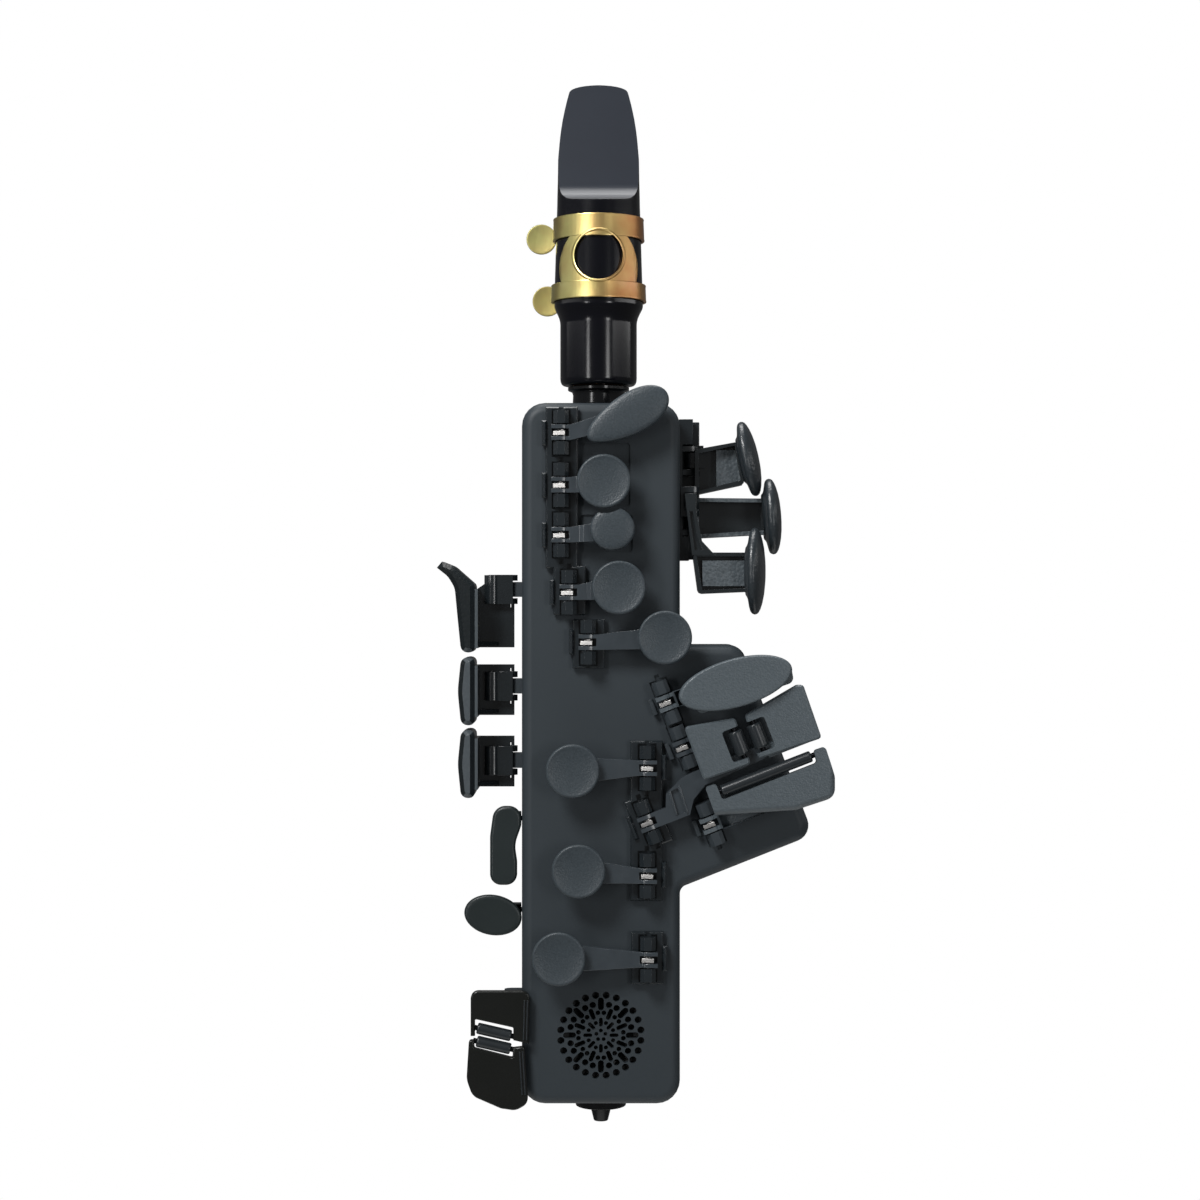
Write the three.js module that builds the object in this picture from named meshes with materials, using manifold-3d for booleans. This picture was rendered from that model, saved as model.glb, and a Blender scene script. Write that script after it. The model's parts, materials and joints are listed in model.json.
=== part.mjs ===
// Digital wind controller in the shape of a small saxophone: a two-part moulded housing with a side wing,
// a mouthpiece on a corked neck, and sprung keys on open hinges.
// Millimetres. +Z points up to the mouthpiece, the front with the keys faces -Y, +X is on the right.
// The origin is the centre of the neck-strap eye on the back.
import * as THREE from "three";
import { mergeVertices } from "three/addons/utils/BufferGeometryUtils.js";
import Module from "manifold-3d";

const wasm = await Module();
wasm.setup();

// Housing
const body_width = 47.6;
const body_length = 211;
const body_depth = 28;
const wall = 2.2;
const corner_radius = 7;
const front_fillet = 3.2;
const rear_fillet = 4.5;
const parting_share = 0.1; // how far behind the middle the two shells meet, of the depth
const wing_reach = 40.2; // from the body's side to the wing's outer corner
const wing_tilt = 21; // degrees between the wing's outer edge and the upright
const wing_depth_share = 0.72;
const wing_fillet = 2;
const wing_corner_radius = 5;
const strap_drop_share = 0.4236; // strap eye below the top of the housing, of its length

// Clearances
const seat_gap = 0.3; // between pieces that are screwed or glued together
const running_gap = 0.4; // between a lever and the posts beside it
const bore_clearance = 0.3; // between a pin and the bore that turns on it
const overrun = 1; // how far a cutting tool passes the face it cuts
const weld = 0.3; // how deep joined shapes sink into each other
const merge_tolerance = 0.0001; // corners closer than this are one

// Open key hinge
const pivot_height = 4.6; // hinge pin above the housing's face
const pin_radius = 0.75;
const knuckle_radius = 2.2;
const knuckle_width = 4.6;
const slot_width = 2.3; // fork slot that shows the spring
const slot_length = 2.4; // slot past the pin, towards the touch
const spring_radius = 1.5;
const post_width = 4.6;
const post_length = 3.9;
const post_crown = 2; // post above the pin
const post_chamfer = 1.2;
const moat_width = 0.5;
const moat_depth = 1.6;
const notch_width = 1.4;
const notch_length = 1.5;
const tail_length = 2.9; // fork behind the pin

// Rails and brackets that carry the posts
const rail_height = 2.4; // above the housing's face
const rail_chamfer = 0.4;
const rail_tail_side = 4.7; // from the hinge line to the rail's edge behind the levers
const rail_touch_side = 5;
const rail_end = 1.3; // past the last post
const rail_meeting_end = 0.2; // where two plates meet
const rail_bridge = 0.7; // overlap of the two parts of the left-hand rail
const guard_length = 7.5;
const guard_width = 1.4;
const guard_height = 1.2; // above the rail
const guard_chamfer = 0.45;
const table_guard_side = 3.7;
const table_guard_length = 5;

// Levers of the two stacks
const lever_depth = 2.6;
const lever_under = 1.1; // underside of the lever below the pin's line
const lever_rise = 0.6; // step up on the way to the touch
const lever_step_shares = [0.36, 0.44];
const bumper_radius = 1.4;
const bumper_share = 0.62;
const bumper_travel = 1.6; // bumper above the housing's face

// Touch caps
const cap_radius = 8;
const cap_height = 3.2;
const cap_edge = 0.7;
const cap_dish = 0.5;
const cap_foot_share = 0.92;
const seat_radius_share = 0.62;
const egg_half_length = 13.6;
const egg_half_width = 6.05;
const egg_skew = 0.2;
const egg_tilt = 29.7;
const moon_half_width = 6.6;
const moon_half_height = 5.9;
const moon_clearance = 1.5; // between the half-moon cap and the round cap above it
const cap_bevel = 1;

// Little-finger table
const table_tilt = 21.3;
const table_beside = 10.8; // C sharp hinge beside the hinge line of the right-hand rail
const table_reach = 39; // from the hinge line to the outer edge
const table_lift = 4.6; // underside of the plates above the pin's line
const plate_depth = 3;
const plate_bevel = 0.5;
const plate_corner = 0.9;
const oval_half_length = 17.2;
const oval_half_width = 7.1;
const oval_tilt = -5.5;
const oval_height = 2.8;
const oval_base_depth = 2;
const rib_width = 5;
const link_depth = 2.3; // link that carries the low B plate
const link_rib_length = 12.5; // rib along the edge of the low B plate
const link_rib_depth = 1.2;

// Rollers
const roller_radius = 1.7;
const roller_pin_radius = 0.7;
const roller_bevel = 0.35;
const pin_seat = 0.6; // how deep a roller's pin sits in its plate
const short_roller_end = 1.2; // between a short roller and the end of its pocket
const long_roller_end = 0.8;
const low_roller_end = 0.3;

// Side hinges, shared by the palm keys, side keys and low plates
const lug_width = 4.6;
const ear_width = 1.8;
const side_pivot_back = 6.4; // behind the middle of the housing
const side_pivot_out = 4; // outside the housing's wall
const hanger_reach = 6; // bar that hangs the lowest palm key from its pin
const hanger_depth = 3;
// Outline of the bar: out as a share of its reach, and up to the pin (1) or down to the arm (-1).
const hanger_shares = [[-0.42, 1], [-0.05, -1.05], [1.1, -1.05], [0.45, -0.78], [0.15, -0.2], [0.15, 1]];
const hanger_channel_shares = [[-0.2, -0.2], [0.08, -0.95], [0.5, -0.95], [0.2, -0.7], [-0.02, -0.2]];
const arm_wall = 1.2;
const arm_back = 2;

// Palm keys on the right edge
const palm_pad_radius = 11.6;
const palm_pad_depth_share = 0.74; // front-to-back size of a pad, of its height
const palm_pad_thickness = 2.6;
const palm_pad_crown = 1.7;
const palm_pad_forward = 7; // pad's middle in front of its pin
const palm_stem = 1.4; // flared stem behind a pad
const hanging_pin_forward = 11.5; // pin of the lowest palm key in front of the others
const palm_stem_share = 0.58; // of the pad's radius
const palm_arm_depth = 8.4;
const palm_panel_depth = 3.2;
const bracket_depth = 1;
const bracket_band = 6.2; // front to back
const bracket_shares = [0.018, 0.224]; // top and bottom edge, of the body's length below its top
const bracket_head = 4.2; // thick blocks at the bracket's top and bottom
const bracket_foot = 3;
const hinge_cover = 1; // plate that closes a side hinge off

// Side keys on the left edge
const side_cap_thickness = 5.2;
const side_cap_depth = 16;
const side_cap_bevel = 1.4;
const side_cap_corner = 1.7;
const side_cap_round = 2.2; // round at the ends of the cap's outer face
const side_cap_gap = 1.45; // between the ends of two caps
const side_arm_share = 0.757; // height of an arm, of its cap's length
const side_arm_reach = 10.4; // from the pin to the cap
const side_cap_forward = 7;
const side_flange = 0.9;
const side_wedge = 2.8; // gusset from the hinge to the arm
const horn_reach = 7.5; // horn of the high E key beyond its cap
const side_crown_share = 0.2;
const horn_shares = [
  [0.12, -0.12, 0.8], [0.4, 0.33, 0.8], [0.84, 0.68, 0], [0.63, 0.93, 0], [0.15, 0.74, 0.6],
];

// Rocking keys on the lower left edge
const rock_pivot_front = 5; // in front of the middle of the housing
const rock_pad_depth = 3;
const rock_pad_front = 12.6;
const rock_pin_length = 5.2;
const rock_knuckle_width = 3.4;
const rock_bevel = 0.9;
const kidney_length = 23.7;
const kidney_width = 9.4;
// Corners as shares of half the width and half the length, with the bend as a share of half the width.
const kidney_shares = [
  [-0.69, 1, 0.8], [1.04, 1, 0.8], [1.04, 0.5, 0.6], [0.62, 0.02, 1.2], [0.78, -0.4, 1.2], [0.78, -1, 0.7],
  [-0.95, -1, 0.7], [-0.95, 0.25, 1.5],
];
const trill_half_length = 8.7;
const trill_half_width = 6;
const trill_tilt = -10;
const kidney_out = 5.1; // pads' middles outside the wall
const trill_out = 8.7;

// Low E flat and low C plates
const low_plate_width = 17.7;
const low_plate_depth = 2.8;
const low_plate_lift = 0.9; // underside above the housing's face
const low_pivot_front = 9;
const low_pivot_out = 3.2;
const low_overlap = 2.6; // plates over the housing's edge
const low_bevel = 0.45;
const low_corner_share = 0.125; // usual corner radius of a plate, of its width

// Speaker grille
const grille_radius = 12.2; // to the middles of the outermost holes
const grille_hole_radius = 1;
const slot_breadth_share = 0.75; // half breadth of a slot, of its ring's hole radius
const grille_down_share = 0.9004;
const speaker_radius = 15;
const speaker_depth = 7.5;
// Section of the speaker from its magnet round to its cone: radius and depth shares.
const speaker_shares = [[0, 1], [0.45, 1], [0.55, 0.4], [1, 0.2], [1, 0], [0.8, 0], [0.36, 0.4], [0, 0.3]];

// Mouthpiece, reed and ligature
const neck_shift_share = -0.03; // neck beside the middle, of half the body's width
const mouthpiece_length = 94.3;
const shank_radius = 11.7;
const shank_length = 19;
const shank_edge = 0.5;
const shoulder_length = 5;
const shoulder_shares = [[0.3, 0.35], [0.86, 0.75], [1, 1]]; // out to the barrel and up the shoulder
const barrel_radius = 13.6;
const barrel_neck_radius = 12.65; // at the foot of the beak
const beak_length = 39;
const beak_tip = 1.9;
const beak_sag = 4.6; // how far the beak's face lies in front of the axis at its foot
const beak_ledge = 3.6;
const beak_ledge_share = 0.4; // how steeply the ledge at the foot falls to the front
const tip_half_width = 8.7;
const tip_arch = 2;
// Half widths of the beak as shares of the barrel's radius, at drops below the tip as shares of its length.
const beak_plan_shares = [
  [0.988, 0.81], [0.978, 0.646], [0.938, 0.476], [0.873, 0.307],
  [0.762, 0.133], [0.7, 0.07], [0.52, 0.03], [0.3, 0.008],
];
const table_flat = 10.4; // reed table behind the axis
const bore_radius = 8.3;
const bore_depth = 24;
const chamber_radius = 6.2;
const window_half_width = 4.6;
const window_length = 33;
const window_sink = 1.1; // depth of the window at the tip
const reed_taper_share = 0.54;
const reed_tip = 0.35;
const reed_length = 69;
const band_thickness = 0.7;
const upper_band_height = 6.7;
const lower_band_height = 5.1;
const ligature_height = 25.3;
const ligature_drop = 43.4; // from the mouthpiece's tip to the ligature's top
const panel_half_width = 11.9;
const panel_half_height = 13.8;
const panel_drop = 3.5; // middle of the oval below the middle of its hole
const panel_hole_radius = 7.4;
const ligature_slit = 7;
const ligature_lug_height = 5;
const ligature_lug_thickness = 1.2;
const screw_radius = 1.1;
const screw_length = 21;
const paddle_radius = 4.7;
const paddle_thickness = 1.1;
const paddle_outs = [17.9, 16]; // middles of the upper and lower paddles beside the axis

// Neck and drain spout
const neck_radius = 7.5;
const neck_height = 4.2;
const neck_collar_radius = 9.35;
const neck_collar_height = 1.2;
const tenon_radius = 6.8;
const tenon_length = 22;
const neck_bore_radius = 3.4;
const spigot_radius = 5;
const spigot_length = 8;
const cork_thickness = 0.9;
const spout_flange_radius = 7.7;
const spout_flange_height = 2.6;
const spout_flange_edge = 0.4;
const spout_radius = 3.3;
const spout_tip_radius = 2.2;
const spout_length = 4.6;
const spout_bore_radius = 1.2;

// Back: strap eye, thumb rest, thumb hook, octave key
const eye_radius = 7;
const eye_hole_radius = 4;
const eye_thickness = 3.2;
const eye_sink = 1.6; // ring into its plate
const eye_base_length = 20;
const eye_base_width = 10;
const eye_base_depth = 1.8;
const thumb_rest_radius = 9;
const thumb_rest_height = 4.5;
const thumb_rest_drop_share = 0.2;
// Section of the thumb rest: radius and height shares.
const thumb_rest_shares = [[1, 0], [1, 0.6], [0.86, 1], [0.5, 0.86], [0, 0.8]];
const hook_drop_share = 0.6;
const hook_width = 15;
const hook_reach = 19;
const hook_thickness = 3;
const hook_lip = 9;
const hook_base_length = 26;
const hook_base_thickness = 2.1;
const hook_tip_radius = 1;
const hook_inner_bend = 6;
const hook_outer_bend = 6.6;
const octave_drop_share = 0.05;
const octave_clearance = 2.15; // between the octave touch and the thumb rest
const octave_touch_radius = 6.5;

// Inside
const board_width_share = 0.86;
const board_shares = [0.03, 0.78]; // top and bottom edge, of the body's length below its top
const board_thickness = 1.6;
const board_stand_off = 3;
const boss_radius = 2.6;
const boss_shares = [[-0.62, 0.1], [0.62, 0.1], [-0.62, 0.6], [0.62, 0.6]]; // across and down the housing
const battery_room = 3.6; // between the battery and the side walls
const battery_length = 62;
const battery_thickness = 8;
const battery_drop_share = 0.56;
const sensor_width = 9;
const sensor_height = 7;
const sensor_drop = 14; // below the top of the board
const sensor_nipple_radius = 1.6;

// Round shapes are drawn with these numbers of sides
const fine_sides = 20;
const cap_sides = 18;
const knuckle_sides = 10;
const bore_sides = 8;
const pin_sides = 6;
const hole_sides = 6;

const degree = Math.PI / 180;
const quarter_turn = 90 * degree;
const half_turn = 180 * degree;

// Places on the housing
const half_width = body_width / 2;
const half_depth = body_depth / 2;
const body_top = strap_drop_share * body_length;
const front_y = -half_depth;
const pivot_y = front_y - pivot_height;
const across = (share) => share * half_width;
const down = (share) => body_top - share * body_length;
const parting_y = parting_share * body_depth;
const wing_back_y = front_y + wing_depth_share * body_depth;
const eye_stand_off = seat_gap + eye_base_depth + eye_radius - eye_sink;

// Boolean work
function solidOf(geometry) {
  const bare = geometry.clone();
  bare.deleteAttribute("normal");
  bare.deleteAttribute("uv");
  const merged = mergeVertices(bare, merge_tolerance);
  const build = (triVerts) =>
    new wasm.Manifold(
      new wasm.Mesh({ numProp: 3, vertProperties: merged.attributes.position.array, triVerts }),
    );
  const triVerts = new Uint32Array(merged.index.array);
  const solid = build(triVerts);
  return solid.volume() < 0 ? build(triVerts.reverse()) : solid;
}

function geometryOf(solid) {
  const mesh = solid.getMesh();
  const geometry = new THREE.BufferGeometry();
  geometry.setAttribute("position", new THREE.BufferAttribute(mesh.vertProperties, 3));
  geometry.setIndex(new THREE.BufferAttribute(mesh.triVerts, 1));
  return geometry;
}

const join = (...pieces) => geometryOf(pieces.map(solidOf).reduce((a, b) => a.add(b)));
const cut = (piece, ...tools) =>
  geometryOf(tools.map(solidOf).reduce((a, b) => a.subtract(b), solidOf(piece)));
const common = (...pieces) => geometryOf(pieces.map(solidOf).reduce((a, b) => a.intersect(b)));

// A shape in X and Z made solid between two depths, bevelled on both faces.
function prism(shape, back, front, bevel = 0, curveSegments = 1, segments = 1) {
  const geometry = new THREE.ExtrudeGeometry(shape, {
    depth: back - front - 2 * bevel,
    bevelEnabled: bevel > 0,
    bevelThickness: bevel,
    bevelSize: bevel,
    bevelOffset: -bevel,
    bevelSegments: segments,
    curveSegments,
  });
  return geometry.rotateX(quarter_turn).translate(0, back - bevel, 0);
}

// A shape in X and Y made solid along Z, centred on a height.
function bar(shape, width, height = 0, curveSegments = 1) {
  const geometry = new THREE.ExtrudeGeometry(shape, {
    depth: width,
    bevelEnabled: false,
    curveSegments,
  });
  return geometry.translate(0, 0, height - width / 2);
}

// A shape in Y and Z made solid along X, centred on a place.
function crossbar(shape, width, place = 0, curveSegments = 1) {
  const turn = new THREE.Matrix4().makeBasis(
    new THREE.Vector3(0, 1, 0),
    new THREE.Vector3(0, 0, 1),
    new THREE.Vector3(1, 0, 0),
  );
  return bar(shape, width, 0, curveSegments).applyMatrix4(turn).translate(place, 0, 0);
}

// A closed outline with a round arc of its own radius at each corner, given as [x, y, radius].
function outline(corners, shared_radius = 0) {
  const shape = new THREE.Shape();
  corners.forEach(([x, y, own_radius], i) => {
    const radius = own_radius ?? shared_radius;
    const [before, after] = [corners.at(i - 1), corners[(i + 1) % corners.length]];
    const to_before = new THREE.Vector2(before[0] - x, before[1] - y).normalize();
    const to_after = new THREE.Vector2(after[0] - x, after[1] - y).normalize();
    const half_angle = Math.acos(to_before.dot(to_after)) / 2;
    if (!radius) {
      if (i) shape.lineTo(x, y);
      else shape.moveTo(x, y);
      return;
    }
    const run = radius / Math.tan(half_angle);
    const middle = to_before.clone().add(to_after).normalize();
    const centre = middle.multiplyScalar(radius / Math.sin(half_angle)).add(new THREE.Vector2(x, y));
    const start = new THREE.Vector2(x, y).addScaledVector(to_before, run).sub(centre);
    const end = new THREE.Vector2(x, y).addScaledVector(to_after, run).sub(centre);
    if (i) shape.lineTo(centre.x + start.x, centre.y + start.y);
    else shape.moveTo(centre.x + start.x, centre.y + start.y);
    const clockwise = to_before.cross(to_after) > 0;
    shape.absarc(centre.x, centre.y, radius, start.angle(), end.angle(), clockwise);
  });
  shape.closePath();
  return shape;
}

const rectangle = (x0, y0, x1, y1, radius = 0) =>
  outline([[x0, y0], [x1, y0], [x1, y1], [x0, y1]], radius);

// An oval that is fuller at one end by its skew.
function egg(half_length, half_breadth, skew, tilt, sides, x = 0, y = 0) {
  const points = Array.from({ length: sides }, (_, i) => {
    const angle = (2 * half_turn * i) / sides;
    const along = half_length * Math.cos(angle);
    const aside = half_breadth * Math.sin(angle) * (1 + skew * Math.cos(angle));
    return new THREE.Vector2(along, aside)
      .rotateAround(new THREE.Vector2(), tilt * degree)
      .add(new THREE.Vector2(x, y));
  });
  return new THREE.Shape(points);
}

const disc = (radius, x = 0, y = 0, sides = cap_sides) => egg(radius, radius, 0, 0, sides, x, y);

const rodZ = (radius, length, sides, x = 0, y = 0, z = 0) =>
  new THREE.CylinderGeometry(radius, radius, length, sides).rotateX(quarter_turn).translate(x, y, z);
const rodY = (radius, length, sides, x = 0, y = 0, z = 0) =>
  new THREE.CylinderGeometry(radius, radius, length, sides).translate(x, y, z);
const rodX = (radius, length, sides, x = 0, y = 0, z = 0) =>
  new THREE.CylinderGeometry(radius, radius, length, sides).rotateZ(quarter_turn).translate(x, y, z);
const block = (x0, x1, y0, y1, z0, z1) =>
  new THREE.BoxGeometry(x1 - x0, y1 - y0, z1 - z0).translate((x0 + x1) / 2, (y0 + y1) / 2, (z0 + z1) / 2);
const turned = (points, sides) =>
  new THREE.LatheGeometry(points.map(([r, h]) => new THREE.Vector2(r, h)), sides);
const turnedZ = (points, sides) => turned(points, sides).rotateX(quarter_turn);

// Finishes
const finish = (color, roughness, metalness = 0) =>
  new THREE.MeshStandardMaterial({ color, roughness, metalness });
const housing_plastic = finish(0x3b3f45, 0.62);
const rail_plastic = finish(0x33373b, 0.5);
const lever_plastic = finish(0x2b2e32, 0.38);
const touch_plastic = finish(0x45494e, 0.72);
const roller_plastic = finish(0x2c2e31, 0.45);
const ebonite = finish(0x0d0e14, 0.16);
const cane = finish(0xd9c48a, 0.7);
const lacquered_brass = finish(0xc2a95c, 0.25, 1);
const cork = finish(0xb08a5c, 0.9);
const neck_plastic = finish(0x131417, 0.25);
const board_green = finish(0x1f5a3c, 0.5);
const battery_wrap = finish(0x3c5c8a, 0.5);
const speaker_black = finish(0x202224, 0.6);

const instrument = new THREE.Group();
instrument.position.y = -(half_depth + eye_stand_off);

function add(parent, name, geometry, material) {
  const flat = geometryOf(solidOf(geometry)).toNonIndexed();
  flat.computeVertexNormals();
  const mesh = new THREE.Mesh(flat, material);
  mesh.name = name;
  parent.add(mesh);
  return mesh;
}

function frameAt(parent, x, y, z, turn_y = 0, turn_z = 0) {
  const group = new THREE.Group();
  group.position.set(x, y, z);
  group.rotation.set(0, turn_y, turn_z);
  parent.add(group);
  return group;
}

// The same place and turn for a geometry that is joined to a piece of the housing.
const placed = (geometry, x, y, z, turn_y = 0, turn_z = 0) =>
  geometry.rotateZ(turn_z).rotateY(turn_y).translate(x, y, z);

// Open hinge: two posts with the pin and spring between them. The pin runs along Z through the origin,
// the lever leaves towards +X and the housing's face lies at +Y.
const unit_half = knuckle_width / 2 + running_gap + post_length;

function hingePosts(floor_y) {
  const half_post = post_width / 2;
  const crown = -post_crown;
  const profile = outline([
    [-half_post, floor_y + weld],
    [half_post, floor_y + weld],
    [half_post, crown + post_chamfer],
    [half_post - post_chamfer, crown],
    [post_chamfer - half_post, crown],
    [-half_post, crown + post_chamfer],
  ]);
  const post_middle = unit_half - post_length / 2;
  return join(
    bar(profile, post_length, post_middle),
    bar(profile, post_length, -post_middle),
    rodZ(pin_radius, 2 * post_middle, pin_sides),
    rodZ(spring_radius, slot_width - 2 * bore_clearance, pin_sides),
  );
}

// Sunk space round the posts, with the notch that the pin was pushed in through at each end.
function hingeMoat(floor_y, top_y) {
  const half_post = post_width / 2 + moat_width;
  const half_notch = notch_width / 2;
  const reach = unit_half + moat_width;
  return join(
    block(-half_post, half_post, top_y - overrun, floor_y, -reach, reach),
    block(-half_notch, half_notch, top_y - overrun, floor_y, -reach - notch_length, reach + notch_length),
  );
}

function tailGuard(base_y, top_y, distance, length) {
  const shape = rectangle(-distance - guard_width, -length / 2, -distance, length / 2);
  return prism(shape, base_y, top_y, guard_chamfer);
}

// Rail or bracket under a row of hinges: hinges are [x, z, turn].
function rail(plates, hinges) {
  const back = front_y - seat_gap;
  const top = front_y - rail_height;
  const floor = pivot_height - rail_height + moat_depth;
  const top_local = pivot_height - rail_height;
  const base = join(
    ...plates.map((plate) => prism(plate, back, top, rail_chamfer)),
    ...hinges.map(([x, z, turn]) =>
      placed(tailGuard(pivot_height - seat_gap, top_local - guard_height, rail_tail_side - weld, guard_length),
        x, pivot_y, z, turn)),
  );
  const sunk = cut(
    base,
    ...hinges.map(([x, z, turn]) => placed(hingeMoat(floor, top_local), x, pivot_y, z, turn)),
  );
  return join(
    sunk,
    ...hinges.map(([x, z, turn]) => placed(hingePosts(floor), x, pivot_y, z, turn)),
  );
}

// Fork that turns on the pin.
function knuckle() {
  return join(
    rodZ(knuckle_radius, knuckle_width, knuckle_sides),
    block(-tail_length, 0, -knuckle_radius, knuckle_radius / 2, -knuckle_width / 2, knuckle_width / 2),
  );
}

function forkCuts() {
  const half_slot = slot_width / 2;
  return join(
    block(-tail_length - overrun, slot_length, -post_crown - table_lift, knuckle_radius + overrun,
      -half_slot, half_slot),
    rodZ(pin_radius + bore_clearance, knuckle_width + 2 * overrun, bore_sides),
  );
}

// Lever of a stack key: a fork on the pin, a bar that widens and steps up, and a round seat for the cap.
function stackLever(reach, side, end_width, seat_radius) {
  const [step_start, step_end] = lever_step_shares.map((share) => share * reach);
  const top = lever_under - lever_depth;
  const profile = outline([
    [0, lever_under],
    [step_start, lever_under],
    [step_end, lever_under - lever_rise],
    [reach + seat_radius, lever_under - lever_rise],
    [reach + seat_radius, top - lever_rise],
    [step_end, top - lever_rise],
    [step_start, top],
    [0, top],
  ]);
  const neck = slot_length + running_gap;
  const plan = outline([
    [0, -knuckle_width / 2],
    [neck, -knuckle_width / 2],
    [reach, side - end_width / 2],
    [reach, side + end_width / 2],
    [neck, knuckle_width / 2],
    [0, knuckle_width / 2],
  ]);
  const seat = prism(disc(seat_radius, reach, side, knuckle_sides), lever_under, top - lever_rise);
  const body = common(
    bar(profile, 2 * (Math.abs(side) + seat_radius + end_width)),
    join(prism(plan, lever_under, top - lever_rise), seat),
  );
  const bumper_foot = pivot_height - bumper_travel;
  const bumper_length = bumper_foot - lever_under + lever_rise + weld;
  const bumper = rodY(bumper_radius, bumper_length, pin_sides, reach * bumper_share,
    bumper_foot - bumper_length / 2, side * bumper_share);
  return cut(join(body, knuckle(), bumper), forkCuts());
}

const cap_base_y = lever_under - lever_depth - lever_rise - seat_gap;

function roundCap(radius) {
  const rim = radius - cap_edge;
  const profile = [
    [0, 0],
    [radius * cap_foot_share, 0],
    [radius, cap_height - cap_edge],
    [rim, cap_height],
    [0, cap_height - cap_dish],
  ];
  return turned(profile, cap_sides).rotateX(half_turn);
}

function eggCap() {
  const shape = egg(egg_half_length, egg_half_width, egg_skew, egg_tilt, cap_sides);
  return prism(shape, 0, -cap_height, cap_bevel);
}

function moonCap(dx, dz) {
  const shape = egg(moon_half_width, moon_half_height, 0, 0, cap_sides);
  const tool = prism(disc(cap_radius + moon_clearance, dx, dz), overrun, -cap_height - overrun);
  return cut(prism(shape, 0, -cap_height, cap_bevel), tool);
}

// The eight keys of the two stacks. Hinge and cap places are [across, down] shares of the housing,
// and the lever's width at the cap is a share of the cap's radius.
const stack_keys = [
  { name: "front_f", hinge_shares: [-0.499, 0.045], cap_shares: [0.331, 0.0222], end_share: 0.75, shape: "egg" },
  { name: "b", hinge_shares: [-0.499, 0.1191], cap_shares: [0.037, 0.1145], end_share: 0.8, shape: "round" },
  { name: "bis", hinge_shares: [-0.499, 0.1895], cap_shares: [0.144, 0.1831], end_share: 0.775, shape: "moon" },
  { name: "a", hinge_shares: [-0.399, 0.2706], cap_shares: [0.224, 0.264], end_share: 0.875, shape: "round" },
  { name: "g", hinge_shares: [-0.159, 0.341], cap_shares: [0.798, 0.3343], end_share: 0.825, shape: "round" },
  { name: "f", hinge_shares: [0.58, 0.5185], cap_shares: [-0.352, 0.5216], end_share: 1, shape: "round" },
  { name: "e", hinge_shares: [0.58, 0.6706], cap_shares: [-0.279, 0.6623], end_share: 0.925, shape: "round" },
  { name: "d", hinge_shares: [0.589, 0.7889], cap_shares: [-0.527, 0.7854], end_share: 1.075, shape: "round" },
];
const stackKey = (name) => stack_keys.find((key) => key.name === name);
const hingeOf = (key) => {
  const [x, z] = [across(key.hinge_shares[0]), down(key.hinge_shares[1])];
  return [x, z, key.cap_shares[0] > key.hinge_shares[0] ? 0 : half_turn];
};

function addStackKey(key) {
  const [x, z, turn] = hingeOf(key);
  const facing = turn ? -1 : 1;
  const reach = facing * (across(key.cap_shares[0]) - x);
  const side = facing * (down(key.cap_shares[1]) - z);
  const frame = frameAt(instrument, x, pivot_y, z, turn);
  const seat_radius = (key.shape === "round" ? cap_radius : egg_half_width) * seat_radius_share;
  const end_width = key.end_share * cap_radius;
  add(frame, key.name + "_lever", stackLever(reach, side, end_width, seat_radius), lever_plastic);
  const above = stackKey("b");
  const shapes = {
    round: () => roundCap(cap_radius),
    egg: eggCap,
    moon: () => moonCap(across(above.cap_shares[0] - key.cap_shares[0]),
      down(above.cap_shares[1]) - down(key.cap_shares[1])),
  };
  add(frame, key.name + "_cap", shapes[key.shape]().translate(reach, cap_base_y, side), touch_plastic);
}

// Little-finger table. Its frame starts at the C sharp hinge and is turned with the wing.
const table_drop_share = 0.4889;
const table_x = across(stackKey("f").hinge_shares[0]) + table_beside;
const table_z = down(table_drop_share);
const table_turn = -table_tilt * degree;
const table_hinge_shares = {
  g_sharp: [0.005, 0.364],
  c_sharp: [0, 0],
  low_b: [-0.459, -0.438],
  low_b_flat: [-0.02, -0.623],
};
const tableHinge = (name) => {
  const [u, w] = table_hinge_shares[name].map((share) => share * table_reach);
  const spot = new THREE.Vector2(u, w).rotateAround(new THREE.Vector2(), table_tilt * degree);
  return [table_x + spot.x, table_z + spot.y, table_turn];
};

const plate_back_y = -table_lift;
const plate_front_y = plate_back_y - plate_depth;
const roller_y = (plate_back_y + plate_front_y) / 2;

// Outline points are shares of the table's reach from the C sharp hinge: across, up and the corner's radius.
function tablePlate(name, corner_shares, pocket_shares) {
  const [u0, w0] = table_hinge_shares[name];
  const local = ([u, w, bend = plate_corner / table_reach]) =>
    [(u - u0) * table_reach, (w - w0) * table_reach, bend * table_reach];
  const shape = outline(corner_shares.map(local));
  const plate = prism(shape, plate_back_y, plate_front_y, plate_bevel);
  if (!pocket_shares) return plate;
  const [[x0, z0], [x1, z1]] = pocket_shares.map(local);
  return cut(plate, prism(rectangle(x0, z0, x1, z1, plate_corner),
    plate_back_y + overrun, plate_front_y - overrun));
}

// Fork, ramp and rib under a plate.
function tableLever(rib_end) {
  const top = lever_under - lever_depth;
  const rib_bottom = plate_back_y + lever_depth - weld;
  const profile = outline([
    [0, lever_under],
    [slot_length + running_gap, lever_under],
    [slot_length + table_lift, rib_bottom],
    [rib_end, rib_bottom],
    [rib_end, plate_back_y - weld],
    [slot_length + lever_rise, plate_back_y - weld],
    [slot_length, top],
    [0, top],
  ]);
  return join(knuckle(), bar(profile, knuckle_width));
}

function pinAcross(x, z, length, turn_y = 0) {
  return placed(rodZ(roller_pin_radius, length, pin_sides), x, roller_y, z, turn_y);
}

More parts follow.
